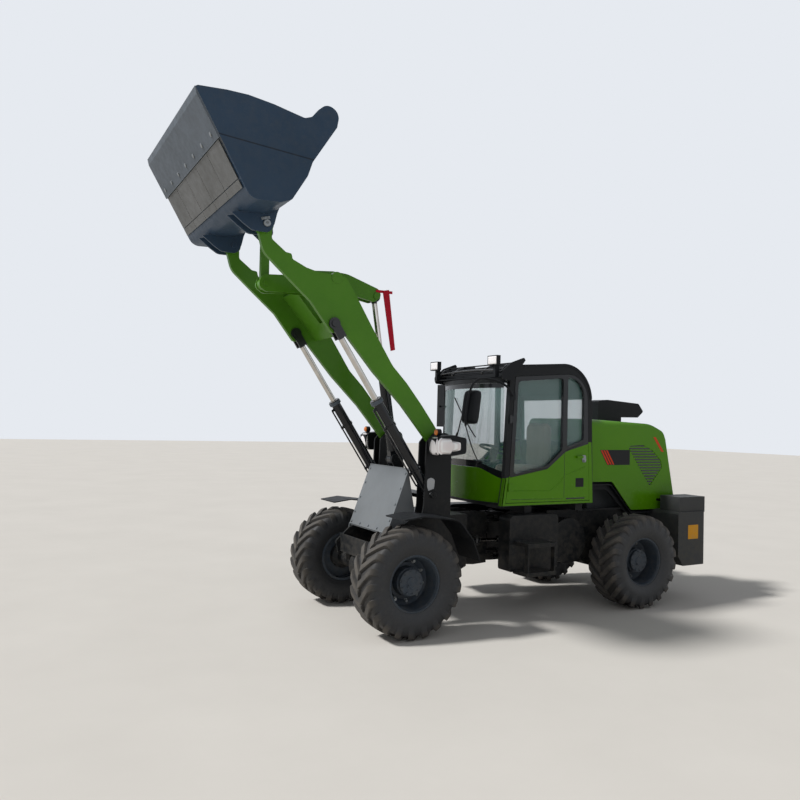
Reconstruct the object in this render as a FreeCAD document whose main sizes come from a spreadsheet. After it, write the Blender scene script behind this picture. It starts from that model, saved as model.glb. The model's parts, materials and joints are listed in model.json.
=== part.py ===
import FreeCAD, Part
import Sketcher
import math
import os

# A compact articulated wheel loader, parked with its boom up and its bucket rolled back.
# Millimetres. +X is forward, +Y is the driver's left, Z is up from the ground.
# Positions along X are measured from the centre hinge, half way between the axles.

SIZES = [
    ("hinge_x", -538, "centre hinge, from the middle of the machine's length"),
    ("wheelbase", 3060, "front axle to rear axle"),
    ("track", 1606, "tyre centre to tyre centre"),
    ("tyre_radius", 537.5, "over the lugs"),
    ("tyre_width", 410, "section width"),
    ("tyre_tread", 340, "tread width"),
    ("tyre_shoulder", 64, "tread edge below the lugs' tips"),
    ("bead_radius", 262, "where the tyre sits on the rim"),
    ("rim_width", 330, "over the flanges"),
    ("rim_lip", 15, "flange above the bead seat"),
    ("rim_wall", 12, "rim barrel and flange"),
    ("rim_dish", 60, "wheel disc inboard of the rim's middle"),
    ("rim_disc", 16, "wheel disc"),
    ("hub_radius", 140, "planetary hub"),
    ("hub_reach", 150, "hub end, out from the wheel disc"),
    ("hub_gap", 0.5, "running gap between hub and axle end"),
    ("axle_radius", 80, "axle tube"),
    ("axle_bowl", 185, "differential bowl radius"),
    ("axle_flange", 140, "flange at the axle's ends"),
    ("axle_pad", 16, "seat of the axle under the frame, over the tube"),
    ("frame_half", 400, "outer face of the frame's side plates"),
    ("frame_plate", 25, "frame plate"),
    ("frame_top", 1100, "top of both frames"),
    ("frame_floor", 480, "underside of both frames"),
    ("neck_half", 170, "half width of the frames beside the hinge"),
    ("neck_reach", 560, "hinge to the wide part of a frame"),
    ("hinge_upper", 1010, "middle of the upper hinge lugs"),
    ("hinge_lower", 570, "middle of the lower hinge lugs"),
    ("hinge_lug", 40, "front frame's hinge lug"),
    ("hinge_eye", 85, "radius of the hinge lugs"),
    ("hinge_pin", 32, "radius of the hinge pins"),
    ("pin_gap", 1, "clearance round a pin"),
    ("side_gap", 5, "clearance beside an eye"),
    ("arm_y", 510, "middle of a lift arm"),
    ("arm_plate", 50, "lift arm"),
    ("boom_pivot_x", 1020, "boom pivot ahead of the hinge"),
    ("boom_pivot_z", 1870, "boom pivot"),
    ("bucket_pin_x", 2985, "bucket pins ahead of the hinge"),
    ("bucket_pin_z", 3875, "bucket pins"),
    ("crank_x", 2240, "bellcrank pivot ahead of the hinge"),
    ("crank_z", 3470, "bellcrank pivot"),
    ("crank_front_x", 2795, "bellcrank's front pin ahead of the hinge"),
    ("crank_front_z", 3426, "bellcrank's front pin"),
    ("crank_rear_x", 1565, "bellcrank's rear pin ahead of the hinge"),
    ("crank_rear_z", 3425, "bellcrank's rear pin"),
    ("link_pin_x", 2800, "link's bucket pin ahead of the hinge"),
    ("link_pin_z", 3920, "link's bucket pin"),
    ("lift_eye_x", 2258, "lift cylinder's rod eye ahead of the hinge"),
    ("lift_eye_z", 3020, "lift cylinder's rod eye"),
    ("lift_base_x", 1120, "lift cylinder's base pin ahead of the hinge"),
    ("lift_base_z", 1340, "lift cylinder's base pin"),
    ("lift_barrel", 1165, "lift barrel, base pin to gland"),
    ("lift_start", 830, "lift rod's inner end from the base pin, boom up"),
    ("lift_bore", 52, "lift barrel radius"),
    ("lift_rod", 30, "lift rod radius"),
    ("tilt_base_x", 1270, "tilt cylinder's base pin ahead of the hinge"),
    ("tilt_base_z", 1680, "tilt cylinder's base pin"),
    ("tilt_barrel", 1150, "tilt barrel, base pin to gland"),
    ("tilt_start", 430, "tilt rod's inner end from the base pin"),
    ("tilt_bore", 56, "tilt barrel radius"),
    ("tilt_rod", 30, "tilt rod radius"),
    ("pin_radius", 27, "linkage pins"),
    ("boss_radius", 78, "bosses on arms, hangers and bellcrank"),
    ("boss_half", 55, "half width of an arm's boss"),
    ("cheek_plate", 22, "bellcrank cheeks, hangers and clevis cheeks"),
    ("eye_half", 40, "half width of the eyes on the centre line"),
    ("tower_plate", 20, "tower plates beside the arms"),
    ("bucket_width", 2040, "over the side plates"),
    ("bucket_side", 25, "bucket side plate"),
    ("bucket_wall", 22, "bucket shell"),
    ("edge_plate", 20, "bolt-on cutting edge"),
    ("edge_length", 440, "cutting edge, tip to heel"),
    ("cab_half", 650, "outer face of the cab's side"),
    ("cab_post", 60, "cab posts"),
    ("cab_floor_z", 1200, "underside of the cab"),
    ("door_skin", 40, "door's green panel"),
    ("glass", 6, "window glass"),
    ("glass_gap", 1, "gap beside the glass"),
    ("door_gap", 6, "gap round the door"),
    ("hood_half", 500, "half width of the hood"),
    ("hood_top", 2178, "hood at the cab"),
    ("weight_half", 900, "half width of the counterweight"),
    ("lug_pitch", 18, "degrees from one tyre lug to the next"),
    ("lug_height", 30, "tyre lug above the tread's floor"),
    ("lug_width", 62, "tyre lug along its length"),
    ("fender_in", 620, "inner edge of the fenders"),
    ("fender_out", 1010, "outer edge of the fenders"),
    ("step_y", 940, "outer edge of the steps"),
    ("tank_in", 500, "inner face of the side tanks"),
    ("tank_out", 700, "outer face of the side tanks"),
    ("steer_base_x", 430, "steering cylinder's base pin behind the hinge"),
    ("steer_base_y", 310, "steering cylinder's base pin"),
    ("steer_eye_x", 350, "steering cylinder's rod eye ahead of the hinge"),
    ("steer_eye_y", 290, "steering cylinder's rod eye"),
    ("steer_barrel", 500, "steering barrel, base pin to gland"),
    ("steer_start", 275, "steering rod's inner end from the base pin, driving straight"),
    ("steer_bore", 32, "steering barrel radius"),
    ("steer_rod", 16, "steering rod radius"),
    ("steer_eye_half", 25, "half width of the steering cylinders' eyes"),
    ("steer_pin", 20, "steering cylinder pins"),
    ("steer_lug", 16, "plates over the steering cylinders' eyes"),
    ("frame_rear", 2190, "rear frame's end behind the hinge"),
    ("engine_low", 760, "underside of the engine"),
    ("engine_top", 1500, "top of the engine"),
    ("weight_rear", 2700, "counterweight's rear face behind the hinge"),
    ("tow_pin", 21, "tow pin bore radius"),
    ("hood_wall", 12, "hood shell"),
    ("cab_top", 2738, "roof at its front edge"),
    ("cab_rail", 120, "depth of the roof rails"),
    ("belt_front", 1500, "top of the green panels at the front of the cab"),
    ("belt_back", 1909, "top of the green panels at the back of the cab"),
    ("roof_skin", 30, "roof panel"),
    ("back_sill", 1900, "sill of the rear window"),
    ("screen_sill", 1600, "sill of the windscreen at its middle"),
    ("screen_radius", 1500, "windscreen's bow in plan"),
    ("screen_bulge", 120, "windscreen's middle ahead of the posts"),
    ("wheel_ring", 180, "steering wheel ring radius"),
    ("wheel_grip", 15, "steering wheel grip radius"),
]

doc = FreeCAD.newDocument("WheelLoader")
sheet = doc.addObject("Spreadsheet::Sheet", "Sizes")
for row, (alias, value, note) in enumerate(SIZES, start=1):
    sheet.set(f"A{row}", note)
    sheet.set(f"B{row}", str(value))
    sheet.setAlias(f"B{row}", alias)
doc.recompute()


class Size:
    """A number together with the sheet formula that it comes from."""

    def __init__(self, number, formula):
        self.number, self.formula = float(number), formula

    def __add__(self, other):
        return Size(self.number + num(other), f"{self.formula} + {text(other)}")

    def __radd__(self, other):
        return Size(num(other) + self.number, f"{text(other)} + {self.formula}")

    def __sub__(self, other):
        return Size(self.number - num(other), f"{self.formula} - {text(other)}")

    def __rsub__(self, other):
        return Size(num(other) - self.number, f"{text(other)} - {text(self)}")

    def __mul__(self, other):
        return Size(self.number * num(other), f"{text(self)} * {text(other)}")

    __rmul__ = __mul__

    def __truediv__(self, other):
        return Size(self.number / num(other), f"{text(self)} / {text(other)}")

    def __neg__(self):
        return Size(-self.number, f"-1 * {text(self)}")


def num(a):
    return a.number if isinstance(a, Size) else float(a)


def text(a):
    return f"({a.formula})" if isinstance(a, Size) else f"({a:.9g})"


class Sizes:
    """The sheet's values by name."""


d = Sizes()
for alias, value, note in SIZES:
    setattr(d, alias, Size(getattr(sheet, alias), "Sizes." + alias))

V = FreeCAD.Vector
TURNS = {
    "XZ": (FreeCAD.Rotation(V(1, 0, 0), 90), V(0, 1, 0)),
    "YZ": (FreeCAD.Rotation(V(1, 1, 1), 120), V(1, 0, 0)),
    "XY": (FreeCAD.Rotation(), V(0, 0, 1)),
}
AXES = {"X": FreeCAD.Rotation(V(0, 1, 0), 90), "Y": FreeCAD.Rotation(V(1, 0, 0), -90), "Z": FreeCAD.Rotation()}
nodes = {}


def bind(obj, path, size):
    """Sets a property and ties it to the sheet."""
    if "." not in path:
        setattr(obj, path, num(size))
    if isinstance(size, Size):
        obj.setExpression(path, size.formula)


def place(obj, at, turn=None):
    """Puts an object at a point whose coordinates may be sheet sizes."""
    obj.Placement = FreeCAD.Placement(V(*[num(c) for c in at]), turn or FreeCAD.Rotation())
    for axis, c in zip("xyz", at):
        bind(obj, "Placement.Base." + axis, c)
    return obj


def node(obj, label):
    """Names a finished sub-part."""
    obj.Label = label
    nodes[label] = obj
    return obj


def box(name, x, y, z, at):
    """A box of the given size from its lowest corner."""
    obj = doc.addObject("Part::Box", name)
    for path, size in zip(("Length", "Width", "Height"), (x, y, z)):
        bind(obj, path, size)
    return place(obj, at)


def cylinder(name, radius, length, at, axis="Y", turn=None):
    """A cylinder from the middle of its first face, along an axis."""
    obj = doc.addObject("Part::Cylinder", name)
    bind(obj, "Radius", radius)
    bind(obj, "Height", length)
    return place(obj, at, turn or AXES[axis])


def corner(before, here, after, r):
    """Where a round of radius r starts and ends at a corner, its centre, and whether it turns left."""
    a, b = (before - here).normalize(), (after - here).normalize()
    half = math.acos(max(-1, min(1, a.dot(b)))) / 2
    reach = r / math.tan(half)
    centre = here + (a + b).normalize() * (r / math.sin(half))
    return here + a * reach, here + b * reach, centre, a.x * b.y - a.y * b.x < 0


def sketch(name, points, plane="XZ", at=0):
    """A closed outline through points (u, v) or rounded corners (u, v, r), each tied to the sheet."""
    sk = doc.addObject("Sketcher::SketchObject", name)
    turn, along = TURNS[plane]
    place(sk, tuple(at if a else 0 for a in along), turn)
    flat = [V(num(p[0]), num(p[1]), 0) for p in points]
    count = len(flat)
    ends = []
    for i, p in enumerate(points):
        if len(p) > 2:
            ends.append(corner(flat[i - 1], flat[i], flat[(i + 1) % count], num(p[2])))
        else:
            ends.append((flat[i], flat[i], None, None))
    for i in range(count):
        sk.addGeometry(Part.LineSegment(ends[i][1], ends[(i + 1) % count][0]), False)
    for i, p in enumerate(points):
        before = (i - 1) % count
        if len(p) == 2:
            sk.addConstraint(Sketcher.Constraint("Coincident", before, 2, i, 1))
            mark, where = i, 1
        else:
            start, end, centre, left = ends[i]
            if not left:
                start, end = end, start
            a0 = math.atan2(start.y - centre.y, start.x - centre.x)
            a1 = math.atan2(end.y - centre.y, end.x - centre.x)
            if a1 < a0:
                a1 += 2 * math.pi
            arc = sk.addGeometry(Part.ArcOfCircle(Part.Circle(centre, V(0, 0, 1), num(p[2])), a0, a1), False)
            first, last = (1, 2) if left else (2, 1)
            mark, where = sk.addGeometry(Part.Point(flat[i]), True), 1
            sk.addConstraint(Sketcher.Constraint("Tangent", before, 2, arc, first))
            sk.addConstraint(Sketcher.Constraint("Tangent", arc, last, i, 1))
            sk.addConstraint(Sketcher.Constraint("PointOnObject", mark, 1, before))
            sk.addConstraint(Sketcher.Constraint("PointOnObject", mark, 1, i))
            k = sk.addConstraint(Sketcher.Constraint("Radius", arc, num(p[2])))
            if isinstance(p[2], Size):
                sk.setExpression(f"Constraints[{k}]", p[2].formula)
        for kind, c in zip(("DistanceX", "DistanceY"), p):
            k = sk.addConstraint(Sketcher.Constraint(kind, mark, where, num(c)))
            if isinstance(c, Size):
                sk.setExpression(f"Constraints[{k}]", c.formula)
    return sk


def plate(name, points, start, thickness, plane="XZ"):
    """A plate of constant thickness over an outline."""
    obj = doc.addObject("Part::Extrusion", name)
    obj.Base = sketch(name + "_outline", points, plane, start)
    obj.DirMode = "Custom"
    obj.Dir = TURNS[plane][1]
    obj.Solid = True
    bind(obj, "LengthFwd", thickness)
    return obj


def turned(name, points, at, axis="Y"):
    """A solid of revolution: points are (place along the axis, radius)."""
    sk = sketch(name + "_outline", points, "XY")
    obj = doc.addObject("Part::Revolution", name)
    obj.Source = sk
    obj.Axis = V(1, 0, 0)
    obj.Base = V(0, 0, 0)
    obj.Angle = 360
    obj.Solid = True
    turn = {"Y": FreeCAD.Rotation(V(0, 0, 1), 90), "X": FreeCAD.Rotation()}[axis]
    return place(obj, at, turn)


def mirrored(obj):
    """The same piece on the machine's other side."""
    copy = doc.addObject("Part::Mirroring", obj.Name + "_right")
    copy.Source = obj
    copy.Base = V(0, 0, 0)
    copy.Normal = V(0, 1, 0)
    return copy


def both(*objs):
    return [o for obj in objs for o in (obj, mirrored(obj))]


def fuse(name, shapes):
    obj = doc.addObject("Part::MultiFuse", name)
    obj.Shapes = shapes
    obj.Refine = True
    return obj


def cut(name, base, tools):
    obj = doc.addObject("Part::Cut", name)
    obj.Base = base
    obj.Tool = tools[0] if len(tools) == 1 else fuse(name + "_tools", tools)
    obj.Refine = True
    return obj


def offset(pin, points):
    """Points given from a pin's centre."""
    return [(pin[0] + p[0], pin[1] + p[1]) + tuple(p[2:]) for p in points]


# Stations and pins
hinge = d.hinge_x
front_x = hinge + d.wheelbase / 2
rear_x = hinge - d.wheelbase / 2
axle_z = d.tyre_radius
wheel_y = d.track / 2
pivot = (hinge + d.boom_pivot_x, d.boom_pivot_z)
bucket_pin = (hinge + d.bucket_pin_x, d.bucket_pin_z)
crank = (hinge + d.crank_x, d.crank_z)
crank_front = (hinge + d.crank_front_x, d.crank_front_z)
crank_rear = (hinge + d.crank_rear_x, d.crank_rear_z)
link_pin = (hinge + d.link_pin_x, d.link_pin_z)
lift_eye = (hinge + d.lift_eye_x, d.lift_eye_z)
lift_base = (hinge + d.lift_base_x, d.lift_base_z)
tilt_base = (hinge + d.tilt_base_x, d.tilt_base_z)


# Steering cylinders: level, one each side of the hinge
steer_base = (hinge - d.steer_base_x, d.steer_base_y)
steer_eye = (hinge + d.steer_eye_x, d.steer_eye_y)
dx, dy = num(steer_eye[0]) - num(steer_base[0]), num(steer_eye[1]) - num(steer_base[1])
steer_length = math.hypot(dx, dy)
steer_turn = FreeCAD.Rotation(V(0, 0, 1), math.degrees(math.atan2(dy, dx)))
steer_z = (d.hinge_upper + d.hinge_lower) / 2


def steer_lugs(name, at, cap):
    """Level plates above and below a steering cylinder's eye, out from the neck's side, with the pin's ends."""
    out = []
    reach = d.neck_half - 5
    for k, z in enumerate((d.steer_eye_half + d.side_gap, -1 * d.steer_eye_half - d.side_gap - d.steer_lug)):
        out.append(box(f"{name}_lug_{k}", 80, at[1] - reach, d.steer_lug, (at[0] - 40, reach, steer_z + z)))
        out.append(cylinder(f"{name}_lug_end_{k}", 45, d.steer_lug, (at[0], at[1], steer_z + z), "Z"))
        out.append(cylinder(f"{name}_cap_{k}", cap, 10, (at[0], at[1], steer_z + (z + d.steer_lug if k == 0 else z - 10)),
                            "Z"))
    return out


# Wheels: rim and tyre, made four times
WHEELS = [
    # corner, axle x, side
    ("front_left", front_x, 1),
    ("front_right", front_x, -1),
    ("rear_left", rear_x, 1),
    ("rear_right", rear_x, -1),
]
half_rim = d.rim_width / 2
disc_in = -1 * d.rim_dish - d.rim_disc
half, tread = d.tyre_width / 2, d.tyre_tread / 2
bead = half_rim - d.rim_wall
floor_radius = d.tyre_radius - d.lug_height
lug_count = round(360 / num(d.lug_pitch))
lug_angle = num(d.lug_width) / num(d.tyre_radius)
sides = 36
flat = 1 / math.cos(math.pi / sides)
CARCASS = [
    # y, radius to the flats: seat on the rim, beads, widest part, shoulders and the tread's floor
    (-1 * bead, d.bead_radius + 0.3),
    (bead, d.bead_radius + 0.3),
    (bead, d.bead_radius + d.rim_lip + 0.3),
    (half, d.bead_radius + 105),
    (half - 10, floor_radius - d.tyre_shoulder),
    (tread, floor_radius - 8),
    (-1 * tread, floor_radius - 8),
    (10 - half, floor_radius - d.tyre_shoulder),
    (-1 * half, d.bead_radius + 105),
    (-1 * bead, d.bead_radius + d.rim_lip + 0.3),
]


def round_by_flats(name, points):
    """A section of (y, radius) carried round in straight sides, so that four tyres stay light."""
    path = doc.addObject("Part::RegularPolygon", name + "_path")
    path.Polygon = sides
    bind(path, "Circumradius", d.bead_radius)
    place(path, (0, 0, 0), AXES["Y"])
    ring = doc.addObject("Part::Sweep", name)
    ring.Sections = [sketch(name + "_outline", [(radius * flat, y) for y, radius in points], "XY")]
    ring.Spine = (path, [f"Edge{k + 1}" for k in range(sides)])
    ring.Transition = "Right corner"
    ring.Solid = True
    return ring


def lugs_round(name, start, phase):
    """Half of the tread: blocks round a wheel, from its middle to one shoulder."""
    points = []
    for k in range(lug_count):
        first = math.radians(270 + phase + k * 360 / lug_count)
        for r, step in ((floor_radius, -0.02), (d.tyre_radius, 0), (d.tyre_radius, lug_angle),
                        (floor_radius, lug_angle + 0.02)):
            points.append((r * math.cos(first + step), r * math.sin(first + step)))
    return cut(name + "_ring", plate(name, points, start, tread), [
        cylinder(name + "_bore", d.bead_radius + 140, 1000, (0, -500, 0))])


tyre_made = fuse("tyre_made", [round_by_flats("tyre_carcass", CARCASS), lugs_round("lugs_outer", 0, 0),
                               lugs_round("lugs_inner", -1 * tread, 180 / lug_count)])
for where, x, side in WHEELS:
    at = (x, wheel_y * side, axle_z)
    copy = doc.addObject("Part::Compound", f"tyre_{where}_at")
    copy.Links = [tyre_made]
    node(place(copy, at), f"tyre_{where}")
    s = side
    rim = turned(f"rim_{where}_disc", [
        (s * half_rim, d.bead_radius + d.rim_lip),
        (s * (half_rim - d.rim_wall), d.bead_radius + d.rim_lip),
        (s * (half_rim - d.rim_wall), d.bead_radius),
        (s * (d.rim_wall - half_rim), d.bead_radius),
        (s * (d.rim_wall - half_rim), d.bead_radius + d.rim_lip),
        (-s * half_rim, d.bead_radius + d.rim_lip),
        (-s * half_rim, d.bead_radius - d.rim_wall),
        (s * disc_in, d.bead_radius - d.rim_wall),
        (s * disc_in, 0),
        (s * (d.hub_reach - d.rim_dish), 0),
        (s * (d.hub_reach - d.rim_dish), d.hub_radius * 0.6),
        (s * (d.hub_reach - d.rim_dish - 30), d.hub_radius * 0.68),
        (s * (d.hub_reach - d.rim_dish - 34), d.hub_radius, 10),
        (s * (34 - d.rim_dish), d.hub_radius + 6),
        (s * (30 - d.rim_dish), d.hub_radius + 38),
        (s * (-1 * d.rim_dish), d.hub_radius + 42),
        (s * (40 - d.rim_dish), d.bead_radius - d.rim_wall - 14, 12),
        (s * (half_rim - 24), d.bead_radius - d.rim_wall),
        (s * half_rim, d.bead_radius),
    ], at)
    node(rim, f"rim_{where}")


# Axles: bowl, tubes, and end flanges that stop a running gap short of the hubs
end = wheel_y + disc_in - d.hub_gap
for name, x in (("front_axle", front_x), ("rear_axle", rear_x)):
    ring = [(-1 * end, 0), (-1 * end, d.axle_flange), (60 - end, d.axle_flange, 12), (110 - end, d.axle_radius + 14)]
    ring += [(-250, d.axle_radius), (-130, d.axle_bowl, 50), (130, d.axle_bowl, 50), (250, d.axle_radius)]
    ring += [(end - 110, d.axle_radius + 14), (end - 60, d.axle_flange, 12), (end, d.axle_flange), (end, 0)]
    body = turned(name + "_body", ring, (x, 0, axle_z))
    nose = 1 if name == "rear_axle" else -1
    pinion = cylinder(name + "_pinion", 70, 250, (x + (0 if nose > 0 else -250), 0, axle_z), "X")
    pads = []
    if name == "front_axle":
        pads = both(box(name + "_pad", 190, 110, d.axle_radius + d.axle_pad, (x - 95, d.frame_half - 100, axle_z)))
    else:
        pads = [cylinder(name + "_trunnion", 95, 440, (x - 220, 0, axle_z), "X")]
    node(fuse(name + "_all", [body, pinion] + pads), name)
pad_top = axle_z + d.axle_radius + d.axle_pad


# Front frame: neck and side plates, tower plates beside the arms, lugs and pins
side_in = d.frame_half - d.frame_plate
tower_in = d.arm_y - d.boss_half - d.side_gap - d.tower_plate
tower_out = d.arm_y + d.boss_half + d.side_gap
tower_outline = [
    (hinge + 900, d.frame_top), (hinge + 1250, d.frame_top), (hinge + 1225, 1240), (pivot[0] + 190, pivot[1] + 10, 30),
    (pivot[0] + 105, pivot[1] + 110, 60), (pivot[0] - 95, pivot[1] + 110, 70), (pivot[0] - 115, pivot[1] - 120, 60),
]
side = plate("front_side", [
    (hinge + d.neck_reach, d.frame_floor + 60), (hinge + d.neck_reach, d.frame_top),
    (hinge + 1250, d.frame_top), (hinge + 1545, 925), (hinge + 1600, 905), (hinge + 1760, 760, 40),
    (front_x + 200, pad_top), (front_x - 180, pad_top), (front_x - 250, d.frame_floor), (hinge + 700, d.frame_floor),
], side_in, d.frame_plate)
neck = plate("front_neck_side", [
    (hinge + 130, d.hinge_lower - 60), (hinge + 130, d.hinge_upper + 60), (hinge + 300, d.frame_top),
    (hinge + d.neck_reach + 20, d.frame_top), (hinge + d.neck_reach + 20, d.frame_floor + 40),
    (hinge + 300, d.frame_floor + 20),
], d.neck_half - d.frame_plate, d.frame_plate)
neck_wall = box("front_neck_wall", d.frame_plate, side_in * 2 + 2 * d.frame_plate, d.frame_top - d.frame_floor - 60,
                (hinge + d.neck_reach, -1 * d.frame_half, d.frame_floor + 60))
neck_end = box("front_neck_end", 20, 2 * d.neck_half, d.hinge_upper - d.hinge_lower + 120,
               (hinge + 130, -1 * d.neck_half, d.hinge_lower - 60))
deck = box("front_deck", 690, 2 * d.frame_half, 20, (hinge + d.neck_reach, -1 * d.frame_half, d.frame_top - 20))
front_wall = box("front_wall", 20, 2 * side_in + 20, 190, (hinge + 1690, -1 * side_in - 10, pad_top + 20))
lugs = []
for name, z in (("upper", d.hinge_upper), ("lower", d.hinge_lower)):
    lugs.append(cylinder(f"front_lug_{name}_eye", d.hinge_eye, d.hinge_lug, (hinge, 0, z - d.hinge_lug / 2), "Z"))
    lugs.append(box(f"front_lug_{name}", 140, 2 * d.hinge_eye, d.hinge_lug,
                    (hinge, -1 * d.hinge_eye, z - d.hinge_lug / 2)))
shelf = box("tower_shelf", 350, tower_out + d.tower_plate - side_in, 30, (hinge + 900, side_in, d.frame_top))
tower_a = plate("tower_inner", tower_outline, tower_in, d.tower_plate)
tower_b = plate("tower_outer", tower_outline, tower_out, d.tower_plate)
tower_back = box("tower_back", 16, tower_out - tower_in + d.tower_plate, 420, (hinge + 915, tower_in, d.frame_top))
pivot_pin = cylinder("boom_pivot_pin", d.pin_radius + 8, tower_out - tower_in + d.tower_plate + 20,
                     (pivot[0], tower_in - 10, pivot[1]))
base_pin = cylinder("lift_base_pin", d.pin_radius, tower_out - tower_in + d.tower_plate + 16,
                    (lift_base[0], tower_in - 8, lift_base[1]))
tilt_ear = plate("tilt_ear", [
    (tilt_base[0] - 190, d.frame_top - 10), (tilt_base[0] + 28, d.frame_top - 10), (tilt_base[0] + 32, tilt_base[1] - 64),
    (tilt_base[0] + 66, tilt_base[1] - 10, 40), (tilt_base[0] + 40, tilt_base[1] + 66, 40),
    (tilt_base[0] - 75, tilt_base[1] + 20, 40),
], d.eye_half + d.side_gap, d.cheek_plate)
tilt_pin = cylinder("tilt_base_pin", d.pin_radius, 2 * (d.eye_half + d.side_gap + d.cheek_plate + 6),
                    (tilt_base[0], -1 * (d.eye_half + d.side_gap + d.cheek_plate + 6), tilt_base[1]))
tie = box("tower_tie", 200, 2 * tower_in, 40, (hinge + 1000, -1 * tower_in, 1300))
front = fuse("front_frame_all", both(side, neck, shelf, tower_a, tower_b, tower_back, pivot_pin, base_pin, tilt_ear)
             + both(*steer_lugs("steer_eye", steer_eye, d.steer_pin + 6)) + [neck_wall, neck_end, deck, front_wall, tilt_pin, tie] + lugs)
front_bores = [cylinder("front_bores", d.hinge_pin + d.pin_gap, 1400, (hinge, 0, 0), "Z")]
node(cut("front_frame_cut", front, front_bores), "front_frame")


# Sloping cover in front of the tilt cylinder's foot, arched over the axle
cover_half = d.arm_y - d.boss_half - 15
cover = plate("cover_plate", [
    (hinge + 1317, 1578), (hinge + 1329, 1590), (hinge + 1568, 942), (hinge + 1556, 930),
], -1 * cover_half, 2 * cover_half)
cover_top = plate("cover_top", [
    (hinge + 1317, 1578), (hinge + 1329, 1590), (hinge + 1329, 1605), (hinge + 1315, 1605),
], -1 * cover_half, 2 * cover_half)
cover_skirt = plate("cover_skirt", [
    (hinge + 1325, 1560), (hinge + 1560, 930), (hinge + 1545, 926), (hinge + 1251, d.frame_top),
    (hinge + 1251, 1180),
], cover_half - 12, 12)
cover_foot = box("cover_foot", 20, 2 * cover_half, 16, (hinge + 1540, -1 * cover_half, 928))
node(fuse("cover_all", [cover, cover_top, cover_foot] + both(cover_skirt)), "front_cover")


# Front fenders: a thin bent plate over each tyre, on a bracket from the tower shelf
def bent(name, path, thickness, start, width):
    """A bent sheet: a path of (x, z) points carried across, thickened downwards."""
    under = [(p[0] + q[0], p[1] + q[1]) + tuple(p[2:]) for p, q in zip(path, thickness)]
    return plate(name, path + under[::-1], start, width)


fender_width = d.fender_out - d.fender_in
fender = bent("front_fender", [
    (front_x + 150, axle_z + 622), (front_x - 60, axle_z + 650, 120), (front_x - 470, axle_z + 600, 150),
    (front_x - 640, axle_z + 400, 80), (front_x - 735, axle_z + 170),
], [(0, -12), (0, -12), (9, -10), (12, -3), (12, 2)], d.fender_in, fender_width)
stay = box("fender_stay", 60, d.fender_in + 20 - tower_out - d.tower_plate, 20,
           (hinge + 1000, tower_out + d.tower_plate, d.frame_top + 5))
for obj, label in zip(both(fuse("front_fender_all", [fender, stay])), ("front_fender_left", "front_fender_right")):
    node(obj, label)


# Boom: two arms joined by a boxed cross-member with a slot for the bellcrank
def arm_points():
    lower = offset(bucket_pin, [(70, -20, 30), (5, -245, 200), (-225, -445)])
    lower += offset(crank, [(260, -260)])
    lower += offset(lift_eye, [(25, -85, 30), (-128, -92, 30)])
    lower += offset(pivot, [(795, 706, 400), (465, 387), (157, 33)])
    foot = offset(pivot, [(60, -70, 60), (-75, -20, 60)])
    upper = offset(pivot, [(80, 200), (230, 395), (410, 610), (580, 780, 300), (810, 1130)])
    upper += offset(crank, [(-230, -180, 200), (-100, 20, 90), (190, 30, 250)])
    upper += offset(bucket_pin, [(-425, -345), (-285, -283, 20), (-272, -232, 20), (-215, -225), (-75, -120, 40),
                                 (-70, 40, 40)])
    return lower + foot + upper


arm = plate("arm", arm_points(), d.arm_y - d.arm_plate / 2, d.arm_plate)
arm_bosses = [
    cylinder(f"arm_boss_{i}", radius, 2 * half, (pin[0], d.arm_y - half, pin[1]))
    for i, (pin, radius, half) in enumerate([
        (pivot, d.boss_radius + 12, d.boss_half), (bucket_pin, d.boss_radius, d.boss_half),
        (crank, d.boss_radius - 22, d.arm_plate / 2 + 8),
    ])
]
cross_y = d.arm_y - d.arm_plate / 2
crank_tube = cylinder("crank_tube", 48, 2 * cross_y, (crank[0], -1 * cross_y, crank[1]))
cross = plate("cross_member", [
    (hinge + 2415, 3398), (hinge + 2024, 2955), (hinge + 1960, 3012), (hinge + 2120, 3215, 60), (hinge + 2345, 3445),
], -1 * cross_y, 2 * cross_y)
slot_half = d.eye_half + d.side_gap + d.cheek_plate + 20
slot = plate("cross_slot", [
    (hinge + 2600, 3520), (hinge + 2190, 3055, 60), (hinge + 2090, 3145, 60), (hinge + 2300, 3620),
], -1 * slot_half, 2 * slot_half)
cross_cut = cut("cross_slotted", cross, [slot])
boom_solid = fuse("boom_all", both(arm, *arm_bosses) + [cross_cut, crank_tube])
boom_bores = both(
    cylinder("bore_pivot", d.pin_radius + 8 + d.pin_gap, 200, (pivot[0], d.arm_y - 100, pivot[1])),
    cylinder("bore_bucket", d.pin_radius + d.pin_gap, 200, (bucket_pin[0], d.arm_y - 100, bucket_pin[1])),
)
node(cut("boom_cut", boom_solid, boom_bores), "boom")


# Bucket: rolled shell between side plates, hangers with pins, ears for the link
def from_pin(points):
    return offset(bucket_pin, points)


floor = (math.cos(math.radians(59.5)), math.sin(math.radians(59.5)))
tip = (805, 912)
half_bucket = d.bucket_width / 2


def floor_at(back, inward):
    """A point on the floor's line, measured back from the tip and into the bucket."""
    return (-1 * back * floor[0] - inward * floor[1] + tip[0], -1 * back * floor[1] + inward * floor[0] + tip[1])


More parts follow.
